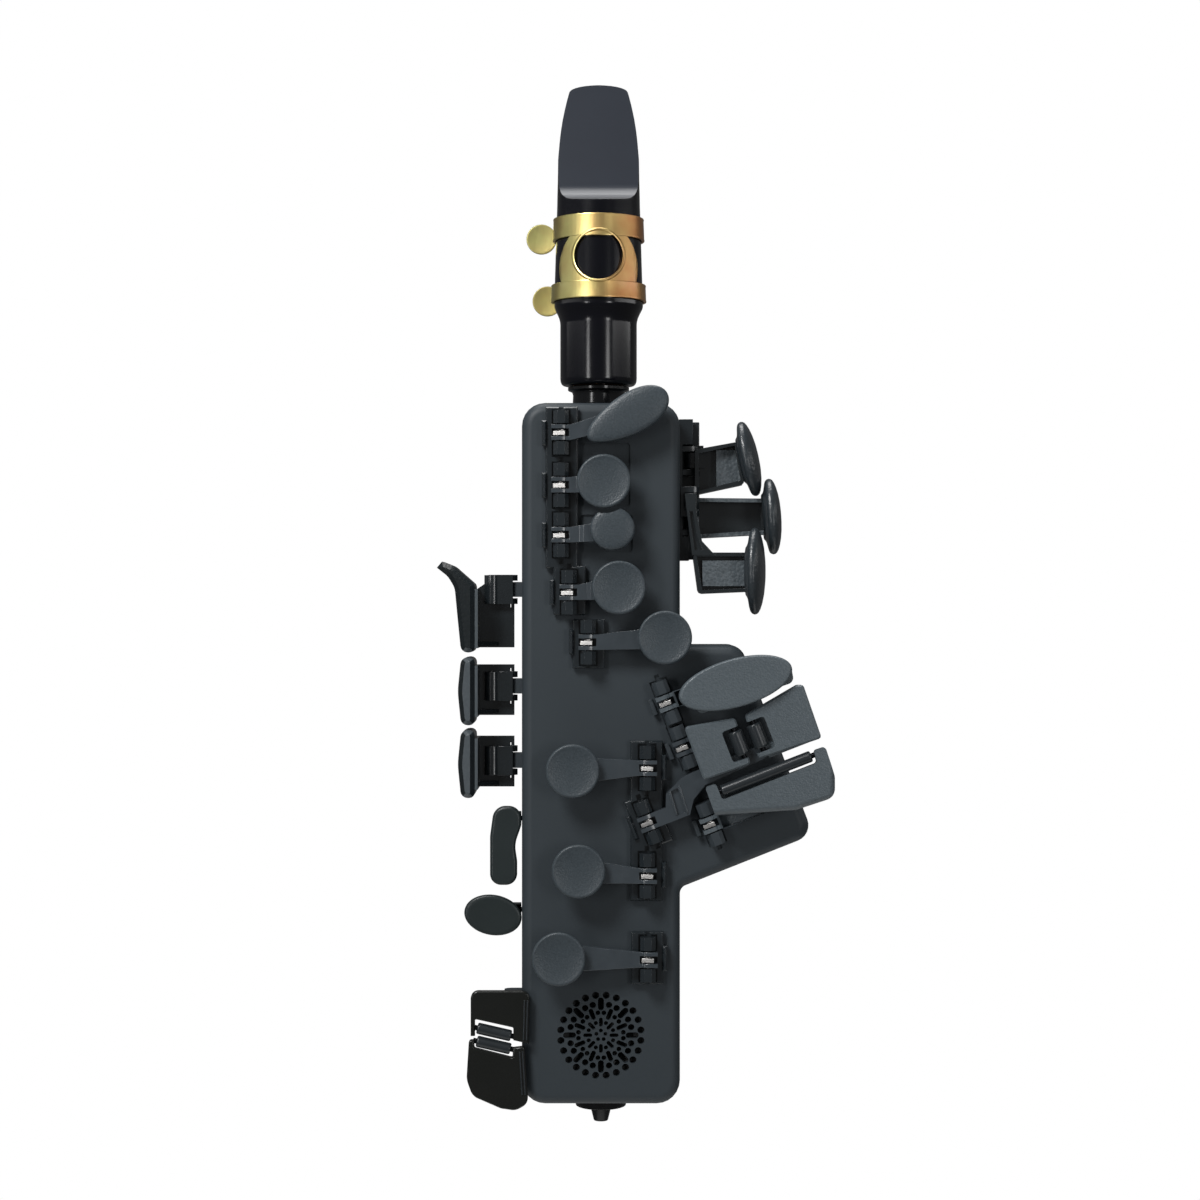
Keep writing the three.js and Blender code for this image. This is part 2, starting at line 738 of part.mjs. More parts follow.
function roller(length) {
  const inner = roller_pin_radius + bore_clearance;
  const half = length / 2;
  const edge = roller_radius - roller_bevel;
  const ring = [
    [inner, -half],
    [edge, -half],
    [roller_radius, roller_bevel - half],
    [roller_radius, half - roller_bevel],
    [edge, half],
    [inner, half],
    [inner, -half],
  ];
  return turnedZ(ring, knuckle_sides);
}

// C sharp and low B plates meet at a pair of short rollers.
const c_sharp_pocket_shares = [[0.305, -0.238], [0.6, 0.012]];
const low_b_pocket_shares = [[0.4, -0.238], [0.648, 0.012]];
const short_roller_spot_shares = { c_sharp: [0.4, -0.113], low_b: [0.554, -0.113] };
const long_pocket_shares = [0.126, 0.895];
const long_roller_height_share = -0.405;
const pocketHeight = ([low, high]) => (high[1] - low[1]) * table_reach;
const roller_length = pocketHeight(c_sharp_pocket_shares) - 2 * short_roller_end;
const long_pocket_length = (long_pocket_shares[1] - long_pocket_shares[0]) * table_reach;
const long_roller_length = long_pocket_length - 2 * long_roller_end;
const long_middle_share = (long_pocket_shares[0] + long_pocket_shares[1]) / 2;

const c_sharp_corner_shares = [
  [0.05, -0.279], [0.427, -0.292], [0.441, 0.077], [0.057, 0.151],
];
const low_b_corner_shares = [
  [0.497, -0.279], [0.997, -0.305], [1.013, 0.12], [0.965, 0.139], [0.517, 0.069],
];
const low_b_flat_corner_shares = [
  [0.034, -0.562], [0.62, -0.745, 0.077], [0.93, -0.762, 0.1], [0.985, -0.62, 0.1], [0.998, -0.376],
  [0.905, -0.372], [long_pocket_shares[1], -0.467], [long_pocket_shares[0], -0.467],
  [long_pocket_shares[0], -0.335], [0.04, -0.335],
];
const g_sharp_base_shares = [
  [0.18, 0.2, 0.05], [0.955, 0.165, 0.05], [0.985, 0.31, 0.05], [0.25, 0.43, 0.05],
];
const oval_middle_shares = [0.538, 0.323];

// Link that carries the low B plate: it runs under the C sharp plate.
// Shares of the table's reach from its pin.
const link_shares = [
  [0.07, -0.059], [0.318, -0.059], [0.385, 0.038], [0.51, 0.11], [0.985, 0.133],
  [1.1, 0.133], [1.1, 0.236], [0.45, 0.236], [0.36, 0.226], [0.205, 0.154], [0.165, 0.059], [0.07, 0.059],
];

function gSharpKey() {
  const [u0, w0] = table_hinge_shares.g_sharp;
  const base = tablePlate("g_sharp", g_sharp_base_shares);
  const x = (oval_middle_shares[0] - u0) * table_reach;
  const z = (oval_middle_shares[1] - w0) * table_reach;
  const shape = egg(oval_half_length, oval_half_width, 0, oval_tilt, fine_sides, x, z);
  const oval_back = plate_back_y - oval_base_depth;
  const oval = prism(shape, oval_back, plate_front_y - oval_height, cap_bevel);
  return cut(join(base, oval, tableLever(x)), forkCuts());
}

function cSharpKey() {
  const [x, z] = short_roller_spot_shares.c_sharp.map((share) => share * table_reach);
  return cut(
    join(
      tablePlate("c_sharp", c_sharp_corner_shares, c_sharp_pocket_shares),
      tableLever(c_sharp_pocket_shares[0][0] * table_reach - roller_radius),
      pinAcross(x, z, roller_length + 2 * (short_roller_end + pin_seat)),
    ),
    forkCuts(),
  );
}

function lowBKey() {
  const [u0, w0] = table_hinge_shares.low_b;
  const [u, w] = short_roller_spot_shares.low_b;
  const [x, z] = [(u - u0) * table_reach, (w - w0) * table_reach];
  const plate = tablePlate("low_b", low_b_corner_shares, low_b_pocket_shares);
  const link_top = lever_under - link_depth - running_gap;
  const link = prism(outline(link_shares.map(([u, w]) => [u * table_reach, w * table_reach])),
    lever_under - running_gap, link_top);
  const neck = block(0, slot_length + knuckle_radius, link_top, lever_under,
    -knuckle_width / 2, knuckle_width / 2);
  const [end, low, high] = [link_shares[5][0], link_shares[5][1], link_shares[6][1]]
    .map((share) => share * table_reach);
  const riser = block(end - rib_width / 2, end, plate_back_y - weld, link_top + weld, low, high);
  const rib = block(end - rib_width / 2, end - rib_width / 2 + link_rib_length, plate_back_y - weld,
    plate_back_y + link_rib_depth, low, high);
  return cut(
    join(
      plate,
      link,
      neck,
      riser,
      rib,
      knuckle(),
      pinAcross(x, z, roller_length + 2 * (short_roller_end + pin_seat)),
    ),
    forkCuts(),
  );
}

function lowBFlatKey() {
  const [u0, w0] = table_hinge_shares.low_b_flat;
  const x = (long_middle_share - u0) * table_reach;
  const z = (long_roller_height_share - w0) * table_reach;
  return cut(
    join(
      tablePlate("low_b_flat", low_b_flat_corner_shares),
      tableLever(table_reach / 2),
      pinAcross(x, z, long_pocket_length + 2 * pin_seat, quarter_turn),
    ),
    forkCuts(),
  );
}

function addTableKeys() {
  const builders = { g_sharp: gSharpKey, c_sharp: cSharpKey, low_b: lowBKey, low_b_flat: lowBFlatKey };
  const rollers = {
    c_sharp: [...short_roller_spot_shares.c_sharp, 0, roller_length],
    low_b: [...short_roller_spot_shares.low_b, 0, roller_length],
    low_b_flat: [long_middle_share, long_roller_height_share, quarter_turn, long_roller_length],
  };
  for (const [name, build] of Object.entries(builders)) {
    const [x, z, turn] = tableHinge(name);
    const frame = frameAt(instrument, x, pivot_y, z, turn);
    add(frame, name + "_key", build(), name === "g_sharp" ? touch_plastic : lever_plastic);
    if (!rollers[name]) continue;
    const [u, w, roller_turn, length] = rollers[name];
    const [u0, w0] = table_hinge_shares[name];
    const seat = frameAt(frame, (u - u0) * table_reach, roller_y, (w - w0) * table_reach, roller_turn);
    add(seat, name + "_roller", roller(length), roller_plastic);
  }
}

// Side hinge: two ears on the wall with a pin between them, and the knuckle that turns on it.
// The pin runs along Z, +X points away from the housing.
const side_hinge_half = lug_width / 2 + running_gap + ear_width;

function wallEars(to_wall) {
  const shape = rectangle(-to_wall - weld, -knuckle_radius, 0, knuckle_radius);
  const middle = side_hinge_half - ear_width / 2;
  const ears = [-middle, middle].flatMap((z) => [
    bar(shape, ear_width, z),
    rodZ(knuckle_radius, ear_width, knuckle_sides, 0, 0, z),
  ]);
  return join(...ears, rodZ(pin_radius, 2 * middle, pin_sides));
}

// The side keys sit the other way round: one lug on the wall between the key's own ears.
function wallLug(to_wall) {
  const shape = rectangle(-to_wall - weld, -knuckle_radius, 0, knuckle_radius);
  return join(
    bar(shape, lug_width),
    rodZ(knuckle_radius, lug_width, knuckle_sides),
    rodZ(pin_radius, 2 * side_hinge_half, pin_sides),
  );
}

const keyEars = () => rodZ(knuckle_radius, 2 * side_hinge_half, knuckle_sides);

function lugRoom() {
  const half = lug_width / 2 + running_gap;
  const clear = knuckle_radius + running_gap;
  return join(
    block(-clear - overrun, clear, -clear, clear, -half, half),
    rodZ(pin_radius + bore_clearance, 2 * (side_hinge_half + overrun), bore_sides),
  );
}

const sideKnuckle = () => rodZ(knuckle_radius, lug_width, knuckle_sides);

// Plate on the key that closes the hinge off on one side, seen from the front.
function hingeCover(side, half_band) {
  const clear = knuckle_radius + running_gap;
  const reach = knuckle_radius + ear_width;
  const [near, far] = [side * clear, side * (clear + hinge_cover)];
  const [y0, y1] = [Math.min(near, far), Math.max(near, far)];
  return block(-pin_radius, reach, y0, y1, -half_band, half_band);
}

// Room for the ears and the pin.
function earRoom() {
  const clear = knuckle_radius + running_gap;
  const [inner, outer] = [lug_width / 2, side_hinge_half + running_gap];
  return join(
    block(-clear - overrun, clear, -clear, clear, inner, outer),
    block(-clear - overrun, clear, -clear, clear, -outer, -inner),
    rodZ(pin_radius + bore_clearance, lug_width + 2 * overrun, bore_sides),
  );
}

// Open-fronted arm of a palm key: walls all round a back plate, and a raised panel inside.
function channelArm(corners, depth, panel_start) {
  const xs = corners.map(([x]) => x);
  const zs = corners.map(([, z]) => z);
  const [cx, cz] = [(Math.min(...xs) + Math.max(...xs)) / 2, (Math.min(...zs) + Math.max(...zs)) / 2];
  const inset = (value, middle) => value - Math.sign(value - middle) * arm_wall;
  const inner = corners.map(([x, z]) => [inset(x, cx), inset(z, cz)]);
  const back = arm_back / 2;
  const shell = cut(
    prism(outline(corners, arm_wall), back, back - depth),
    prism(outline(inner), -back, back - depth - overrun),
  );
  const [right, top, bottom] = [Math.max(...xs), Math.max(...zs), Math.min(...zs)];
  const panel = block(panel_start, right - arm_wall / 2, -back - palm_panel_depth, 0,
    bottom + 2 * arm_wall, top - 2 * arm_wall);
  return join(shell, common(panel, prism(outline(corners), back, back - depth)));
}

// Section of a palm pad from its stem to its crown: radius and height shares.
const pad_front_shares = [[0.7, -0.52], [0.9, -0.26], [1, 0], [0.92, 0.26], [0.6, 0.78], [0, 1]];

function palmPad(radius) {
  const half = palm_pad_thickness / 2;
  const front = pad_front_shares.map(([r, h]) => [r * radius, h * (half + palm_pad_crown)]);
  const profile = [
    [0, -half - palm_stem],
    [radius * palm_stem_share, -half - palm_stem],
    ...front,
  ];
  return turned(profile, cap_sides).rotateZ(-quarter_turn).scale(1, palm_pad_depth_share, 1);
}

// Palm keys: pin height, arm corners and pad's middle. A pad leans out at its foot and turns to the front.
// Outs are shares of half the housing's width from the pin, ups are down shares of its length.
const palm_keys = [
  {
    name: "palm_d", pin_share: 0.078, forward: false, panel_share: 0.32,
    arm_shares: [[0.04, 0.129], [0.68, 0.1135], [0.6, 0.052], [0.04, 0.0635]],
    pad_shares: [0.73, 0.077], lean: 12, turn: 9, size_share: 1,
  },
  {
    name: "palm_e_flat", pin_share: 0.166, forward: false, panel_share: 0.9,
    arm_shares: [[0.04, 0.192], [1, 0.186], [0.98, 0.1345], [0.04, 0.1335]],
    pad_shares: [1.02, 0.1605], lean: 4, turn: 2, size_share: 1,
  },
  {
    name: "palm_f", pin_share: 0.14, forward: true, panel_share: 0.12,
    arm_shares: [[0.067, 0.273], [0.71, 0.27], [0.7, 0.2135], [-0.005, 0.2135]],
    pad_shares: [0.8, 0.2397], lean: 0, turn: 10, size_share: 1.14,
  },
];
const palm_pivot_x = half_width + side_pivot_out;
const palmPinY = (key) => side_pivot_back - (key.forward ? hanging_pin_forward : 0);

function palmKey(key) {
  const pin_z = down(key.pin_share);
  const corners = key.arm_shares.map(([out, drop]) => [across(out), down(drop) - pin_z]);
  const depth = key.forward ? palm_arm_depth - arm_back : palm_arm_depth;
  const [pad_x, pad_z] = [across(key.pad_shares[0]), down(key.pad_shares[1]) - pin_z];
  const pad_radius = palm_pad_radius * key.size_share;
  const pad_y = -palm_pad_forward * (key.forward ? palm_stem_share : 1);
  const pad = palmPad(pad_radius)
    .rotateZ(-key.turn * degree)
    .rotateY(-key.lean * degree)
    .translate(pad_x, pad_y, pad_z);
  const arm = channelArm(corners, depth, across(key.panel_share));
  const neck = block(0, knuckle_radius + arm_back, -knuckle_radius, arm_back / 2,
    -lug_width / 2, lug_width / 2);
  const pieces = [arm, pad, sideKnuckle()];
  const tools = [earRoom()];
  if (key.forward) {
    const [low, high] = [corners[2][1], lug_width / 2];
    const back = -knuckle_radius - running_gap;
    const reach = ([out, up]) => [out * hanger_reach, up > 0 ? high : low * -up];
    pieces.push(
      prism(outline(hanger_shares.map(reach)), back, back - hanger_depth),
      block(-knuckle_radius, knuckle_radius / 2, back - hanger_depth / 2, 0, -high, high),
    );
    tools.push(prism(outline(hanger_channel_shares.map(reach)), back - hanger_depth / 2,
      back - hanger_depth - overrun));
  } else {
    const back = knuckle_radius + running_gap + hinge_cover;
    pieces.push(
      neck,
      hingeCover(1, side_hinge_half + running_gap),
      block(-pin_radius, knuckle_radius + ear_width, 0, back, -lug_width / 2, lug_width / 2),
    );
  }
  return cut(join(...pieces), ...tools);
}

function palmBracket() {
  const x0 = half_width + seat_gap;
  const [top, bottom] = bracket_shares.map(down);
  const plates = [
    block(x0, x0 + bracket_depth, side_pivot_back - bracket_band / 2, side_pivot_back + bracket_band / 2,
      bottom, top),
  ];
  const forward = palm_keys.find((key) => key.forward);
  const [highest, second] = palm_keys.map((key) => down(key.pin_share));
  plates.push(
    block(x0, x0 + bracket_head, side_pivot_back - bracket_band / 2, side_pivot_back + bracket_band / 2,
      highest + side_hinge_half + running_gap, top),
    block(x0, x0 + bracket_foot, side_pivot_back - bracket_band / 2, side_pivot_back + bracket_band / 2,
      bottom, second - side_hinge_half - running_gap),
  );
  const forward_z = down(forward.pin_share);
  plates.push(block(x0, x0 + bracket_depth, palmPinY(forward) - knuckle_radius, side_pivot_back,
    forward_z - side_hinge_half, forward_z + side_hinge_half));
  const ears = palm_keys.map((key) =>
    wallEars(palm_pivot_x - x0 - bracket_depth).translate(palm_pivot_x, palmPinY(key), down(key.pin_share)));
  return join(...plates, ...ears);
}

// Side keys: down shares of the pin and of the cap's middle.
const side_pitch_share = 0.1045; // from one cap to the next
const side_keys = [
  { name: "side_e", pin_share: 0.266, cap_share: 0.308, horn: true },
  { name: "side_c", pin_share: 0.407, cap_share: 0.4125, horn: false },
  { name: "side_b_flat", pin_share: 0.5155, cap_share: 0.517, horn: false },
];
const side_pivot_x = -half_width - side_pivot_out;

function sideKey(key) {
  const z = down(key.pin_share) - down(key.cap_share);
  const half = (side_pitch_share * body_length - side_cap_gap) / 2;
  const half_arm = half * side_arm_share + (key.horn ? arm_wall : 0);
  const x0 = side_arm_reach;
  const x1 = x0 + side_cap_thickness;
  const r = side_cap_round;
  const crown = side_cap_thickness * side_crown_share;
  const corner = side_cap_corner;
  const plain = [[x0, z - half, corner], [x0, z + half, corner], [x1 - crown, z + half, r], [x1, z, 2 * half],
    [x1 - crown, z - half, r]];
  const horned = [[x0, z - half, corner], [x0, z + half, corner], [x1 - crown, z + half, r],
    [x1, z, half], ...horn_shares.map(([out, up, bend]) =>
      [x1 + out * horn_reach, z - half - up * horn_reach, bend * horn_reach])];
  const cap_front = -side_cap_forward - side_cap_depth / 2;
  const cap = prism(outline(key.horn ? horned : plain), cap_front + side_cap_depth, cap_front,
    side_cap_bevel, 2);
  const flange = block(x0 - side_flange, x0 + weld, cap_front + side_cap_bevel,
    cap_front + side_cap_depth - side_cap_bevel, z - half_arm, z + half_arm);
  const [up, low] = [Math.min(z - half_arm, -side_hinge_half), Math.max(z + half_arm, side_hinge_half)];
  const arm = prism(outline([
    [-knuckle_radius / 2, up],
    [knuckle_radius + ear_width, up],
    [x0, z - half_arm],
    [x0, z + half_arm],
    [knuckle_radius + ear_width, low],
    [-knuckle_radius / 2, low],
  ]), arm_back / 2, -arm_back / 2);
  const web = bar(outline([[knuckle_radius + running_gap, 0], [x0, 0], [x0, cap_front / 2]]),
    arm_wall, z + half_arm - arm_wall);
  const cheek = side_hinge_half - ear_width;
  const front = -knuckle_radius - running_gap - hinge_cover;
  const reach = knuckle_radius + ear_width;
  const cheeks = [-side_hinge_half, cheek].map((low) =>
    block(-pin_radius, reach, front, 0, low, low + ear_width));
  const wedge = bar(outline([[reach - weld, 0], [reach + side_wedge, -arm_back / 2], [reach - weld, front]]),
    2 * side_hinge_half);
  return cut(
    join(cap, flange, arm, web, keyEars(), hingeCover(-1, side_hinge_half), ...cheeks, wedge),
    lugRoom(),
  );
}

// Rocking keys turn on a pin that stands out of the side wall.
const rock_keys = [
  { name: "high_f_sharp", pin_share: 0.5955, out: kidney_out, drop_share: 0.6317 },
  { name: "trill", pin_share: 0.727, out: trill_out, drop_share: 0.7311 },
];
const rock_pivot_x = -half_width - running_gap - rock_knuckle_width / 2;

function rockPin() {
  const length = rock_pin_length + weld;
  return rodX(pin_radius, length, pin_sides, -half_width - rock_pin_length / 2 + weld / 2, 0, 0);
}

function kidneyShape(x, z) {
  const [h, w] = [kidney_length / 2, kidney_width / 2];
  const turn = ([out, up, bend]) => [x - up * h, z + out * w, bend * w];
  return outline(kidney_shares.map(turn));
}

function rockKey(key) {
  const x = down(key.pin_share) - down(key.drop_share);
  const z = -half_width - key.out - rock_pivot_x;
  const back = -(rock_pad_front - rock_pad_depth - rock_pivot_front);
  const shape = key.name === "trill"
    ? egg(trill_half_length, trill_half_width, 0, 90 + trill_tilt, cap_sides, x, z)
    : kidneyShape(x, z);
  const pad = prism(shape, back, back - rock_pad_depth, rock_bevel, 2);
  const neck = block(-knuckle_radius, knuckle_radius, back - weld, 0,
    -rock_knuckle_width / 2, rock_knuckle_width / 2);
  return cut(
    join(pad, neck, rodZ(knuckle_radius, rock_knuckle_width, knuckle_sides)),
    rodZ(pin_radius + bore_clearance, rock_knuckle_width + 2 * overrun, bore_sides),
  );
}

// Low E flat and low C plates at the lower left corner. Outlines are [out, down] shares:
// out of the plate's width from its right edge, down of the housing's length from its top.
const low_right_x = -half_width + low_overlap;
const low_keys = [
  {
    name: "low_e_flat", pin_share: 0.8595,
    corner_shares: [
      [0, 0.835], [1, 0.835], [1, 0.8985, 0], [0.93, 0.8985, 0], [0.93, 0.8745, 0],
      [0.28, 0.8865, 0], [0.28, 0.9045, 0], [0.02, 0.9095, 0],
    ],
    pocket_shares: [0.28, 0.93],
    roller_drop_share: 0.8935,
  },
  {
    name: "low_c", pin_share: 0.962,
    corner_shares: [
      [0.09, 0.9135, 0], [0.29, 0.9155, 0], [0.29, 0.9295, 0], [0.94, 0.9155, 0],
      [0.94, 0.9045, 0], [1.03, 0.9045, 0], [1.07, 0.96, 0.22], [0.97, 0.9835, 0.17],
      [0.49, 1.001, 0.17], [0.24, 1.004, 0.17], [0.03, 0.994, 0.17],
    ],
    pocket_shares: [0.29, 0.94],
    roller_drop_share: 0.912,
  },
];
const low_pivot_x = -half_width - low_pivot_out;
const low_roller_tilt = 13 * degree;
const lowPoint = (key, [out, drop, bend = low_corner_share]) => [
  low_pivot_x - low_right_x + out * low_plate_width,
  down(key.pin_share) - down(drop),
  bend * low_plate_width,
];

const lowRollerSpot = (key) =>
  lowPoint(key, [(key.pocket_shares[0] + key.pocket_shares[1]) / 2, key.roller_drop_share]);

function lowRollerLength(key) {
  const pocket = (key.pocket_shares[1] - key.pocket_shares[0]) * low_plate_width;
  const lean = 2 * roller_radius * Math.tan(low_roller_tilt);
  return (pocket - 2 * low_roller_end) / Math.cos(low_roller_tilt) - lean;
}

function lowKey(key) {
  const back = -(half_depth + low_plate_lift - low_pivot_front);
  const front = back - low_plate_depth;
  const plate = prism(outline(key.corner_shares.map((point) => lowPoint(key, point))),
    back, front, low_bevel);
  const [rx, rz] = lowRollerSpot(key);
  const pin = placed(rodZ(roller_pin_radius, lowRollerLength(key) + 4 * pin_seat, pin_sides),
    rx, (back + front) / 2, rz, quarter_turn + low_roller_tilt);
  const neck = block(-knuckle_radius, knuckle_radius, back - weld, 0, -lug_width / 2, lug_width / 2);
  return cut(join(plate, pin, neck, sideKnuckle()), earRoom());
}

function addSideHingedKeys() {
  for (const key of palm_keys) {
    const frame = frameAt(instrument, palm_pivot_x, palmPinY(key), down(key.pin_share));
    add(frame, key.name + "_key", palmKey(key), lever_plastic);
  }
  for (const key of side_keys) {
    const frame = frameAt(instrument, side_pivot_x, side_pivot_back, down(key.pin_share), half_turn);
    add(frame, key.name + "_key", sideKey(key), lever_plastic);
  }
  for (const key of rock_keys) {
    const frame = frameAt(instrument, rock_pivot_x, -rock_pivot_front, down(key.pin_share), quarter_turn);
    add(frame, key.name + "_key", rockKey(key), touch_plastic);
  }
  for (const key of low_keys) {
    const frame = frameAt(instrument, low_pivot_x, -low_pivot_front, down(key.pin_share), half_turn);
    add(frame, key.name + "_key", lowKey(key), lever_plastic);
    const [rx, rz] = lowRollerSpot(key);
    const roller_depth = -(half_depth + low_plate_lift - low_pivot_front) - low_plate_depth / 2;
    const seat = frameAt(frame, rx, roller_depth, rz, quarter_turn + low_roller_tilt);
    add(seat, key.name + "_roller", roller(lowRollerLength(key)), roller_plastic);
  }
}

// Housing outline: the body with the wing standing out on the right.
const wing_top_share = 0.3455;
const wing_foot_share = 0.692;
const wing_low_share = 0.6165;

function housingOutline() {
  const bottom = down(1);
  const [wing_top, wing_foot, wing_low] = [wing_top_share, wing_foot_share, wing_low_share].map(down);
  const r = corner_radius;
  const top_x = half_width + wing_reach - (wing_top - wing_low) * Math.tan(wing_tilt * degree);
  return outline([
    [-half_width, bottom, r],
    [half_width, bottom, r],
    [half_width, wing_foot, wing_corner_radius / 2],
    [half_width + wing_reach, wing_low, wing_corner_radius],
    [top_x, wing_top, wing_corner_radius],
    [half_width, wing_top, wall],
    [half_width, body_top, r],
    [-half_width, body_top, r],
  ]);
}

const bodyOutline = () => rectangle(-half_width, down(1), half_width, body_top, corner_radius);

function shellBlank(shape, back, front, fillet) {
  return prism(shape, back, front, fillet, 2, 2);
}

function hollow(shape, back, front) {
  const bevel = wall / 2;
  const geometry = new THREE.ExtrudeGeometry(shape, {
    depth: back - front - 2 * bevel,
    bevelThickness: bevel,
    bevelSize: bevel,
    bevelOffset: -wall - bevel,
    bevelSegments: 1,
    curveSegments: 1,
  });
  return geometry.rotateX(quarter_turn).translate(0, back - bevel, 0);
}

// Speaker grille: rings of round holes and short radial slots.
// Each ring has its radius, number of places, turn in places, hole size, a slot every so many places,
// and the slot's half length.
const grille_rings = [
  { ring_share: 1, places: 24, turn: 0.5, hole_share: 1, slot_step: 0, slot_share: 0 },
  { ring_share: 0.785, places: 24, turn: 0, hole_share: 0.95, slot_step: 3, slot_share: 0.058 },
  { ring_share: 0.565, places: 24, turn: 0.5, hole_share: 0.62, slot_step: 3, slot_share: 0.075 },
  { ring_share: 0.335, places: 16, turn: 0, hole_share: 0.6, slot_step: 2, slot_share: 0.055 },
  { ring_share: 0.12, places: 5, turn: 0.25, hole_share: 0.55, slot_step: 0, slot_share: 0 },
];

function slotShape(half_length, half_breadth) {
  const end = half_length + half_breadth / 2;
  return outline([
    [-end, 0],
    [-half_length, -half_breadth],
    [half_length, -half_breadth],
    [end, 0],
    [half_length, half_breadth],
    [-half_length, half_breadth],
  ]);
}

function grilleHoles() {
  const [back, front] = [front_y + wall + overrun, front_y - overrun];
  const tools = [];
  for (const ring of grille_rings) {
    for (let i = 0; i < ring.places; i += 1) {
      const angle = ((i + ring.turn) / ring.places) * 2 * half_turn;
      const place = ring.ring_share * grille_radius;
      const hole = ring.hole_share * grille_hole_radius;
      const is_slot = ring.slot_step && i % ring.slot_step === (ring.turn ? 1 : 0);
      const run = is_slot ? ring.slot_share * grille_radius + hole : 0;
      const tool = is_slot
        ? prism(slotShape(run, slot_breadth_share * hole), back, front)
        : rodY(hole, back - front, hole_sides, 0, (back + front) / 2, 0);
      tools.push(tool.translate(place, 0, 0).rotateY(-angle).translate(0, 0, down(grille_down_share)));
    }
  }
  return tools;
}

// Shallow wells under the first levers: [left, top, right, bottom] shares of the housing.
const well_shares = [[-0.27, 0.058, 0.37, 0.148], [-0.27, 0.16, 0.4, 0.213]];
const well_depth_share = 0.35; // of the wall

function frontShell() {
  const blank = cut(
    shellBlank(housingOutline(), parting_y + 2 * front_fillet, front_y, front_fillet),
    block(-body_width, 2 * body_width, parting_y, body_depth, -body_length, body_length),
  );
  const table_hinges = ["g_sharp", "c_sharp", "low_b_flat"].map(tableHinge);
  const floor = pivot_height + wall * well_depth_share;
  const bosses = boss_shares.map(([x, z]) => {
    const length = board_stand_off + weld;
    return rodY(boss_radius, length, bore_sides, across(x), front_y + wall + length / 2 - weld, down(z));
  });
  const shell = cut(
    blank,
    hollow(housingOutline(), parting_y + wall, front_y + wall),
    ...well_shares.map(([left, top, right, bottom]) =>
      prism(rectangle(across(left), down(bottom), across(right), down(top), wall / 2),
        front_y + wall * well_depth_share, front_y - overrun)),
    ...table_hinges.map(([x, z, turn]) => placed(hingeMoat(floor, pivot_height), x, pivot_y, z, turn)),
    neckHole(),
  );
  const furnished = join(
    shell,
    ...bosses,
    ...table_hinges.map(([x, z, turn]) => placed(hingePosts(floor), x, pivot_y, z, turn)),
    ...table_hinges.map(([x, z, turn]) =>
      placed(tailGuard(pivot_height + weld, pivot_height - rail_height, table_guard_side, table_guard_length),
        x, pivot_y, z, turn)),
    ...rock_keys.map((key) => rockPin().translate(0, -rock_pivot_front, down(key.pin_share))),
    ...low_keys.map((key) => wallEars(-half_width - low_pivot_x)
      .rotateY(half_turn).translate(low_pivot_x, -low_pivot_front, down(key.pin_share))),
  );
  return cut(furnished, ...grilleHoles());
}

function neckHole() {
  const radius = spigot_radius + bore_clearance;
  return rodZ(radius, 4 * wall, bore_sides * 2, across(neck_shift_share), 0, body_top);
}

// The octave key's hinge stands on the rear shell, with its lever hanging down.
const octave_z = down(octave_drop_share);
const octave_frame = [0, half_depth + pivot_height, octave_z, -quarter_turn, half_turn];

function rearShell() {
  const front = parting_y + seat_gap;
  const cutter = block(-body_width, 2 * body_width, -body_depth, front, -body_length, body_length);
  const body = shellBlank(bodyOutline(), half_depth, -half_depth, rear_fillet);
  const wing = shellBlank(housingOutline(), wing_back_y, wing_back_y - 3 * wing_fillet, wing_fillet);
  const blank = cut(join(body, wing), cutter);
  const floor = pivot_height + wall * well_depth_share;
  const shell = cut(
    blank,
    hollow(bodyOutline(), half_depth - wall, front - wall),
    hollow(housingOutline(), wing_back_y - wall, front - wall),
    placed(hingeMoat(floor, pivot_height), ...octave_frame),
    neckHole(),
  );
  return join(
    shell,
    placed(hingePosts(floor), ...octave_frame),
    ...side_keys.map((key) => wallLug(-half_width - side_pivot_x)
      .rotateY(half_turn).translate(side_pivot_x, side_pivot_back, down(key.pin_share))),
  );
}

function octaveKey() {
  const octave_reach = (thumb_rest_drop_share - octave_drop_share) * body_length
    - thumb_rest_radius - octave_touch_radius - octave_clearance;
  return stackLever(octave_reach, 0, knuckle_width, octave_touch_radius);
}

// Rails
function addRails() {
  const half_rail = unit_half + rail_end;
  const half_meeting = unit_half + rail_meeting_end;
  const plate = (from, to, turn, upper = half_rail, lower = half_rail) => {
    const [left, right] = turn ? [rail_touch_side, rail_tail_side] : [rail_tail_side, rail_touch_side];
    return rectangle(from[0] - left, to[1] - lower, from[0] + right, from[1] + upper);
  };
  const [front_f, b, bis, a, g, f, e, d] = stack_keys.map(hingeOf);
  const upper_plates = [
    plate(front_f, bis, false, half_rail, bis[1] - a[1] - half_rail + rail_bridge),
    plate(a, a, false, half_rail, half_meeting),
  ];
  add(instrument, "left_hand_rail", rail(upper_plates, [front_f, b, bis, a]), rail_plastic);
  add(instrument, "g_key_bracket", rail([plate(g, g, false, half_meeting)], [g]), rail_plastic);
  const [x, z, turn] = tableHinge("low_b");
  const base = rectangle(-rail_tail_side, -half_rail, rail_touch_side, half_rail);
  const points = base.getPoints(2).map((point) =>
    point.rotateAround(new THREE.Vector2(), -turn).add(new THREE.Vector2(x, z)));
  const diagonal = new THREE.Shape(points);
  add(instrument, "right_hand_rail",
    rail([plate(f, e, true), diagonal], [f, e, [x, z, turn]]), rail_plastic);
  add(instrument, "d_key_bracket", rail([plate(d, d, true)], [d]), rail_plastic);
  add(instrument, "palm_key_bracket", palmBracket(), rail_plastic);
}

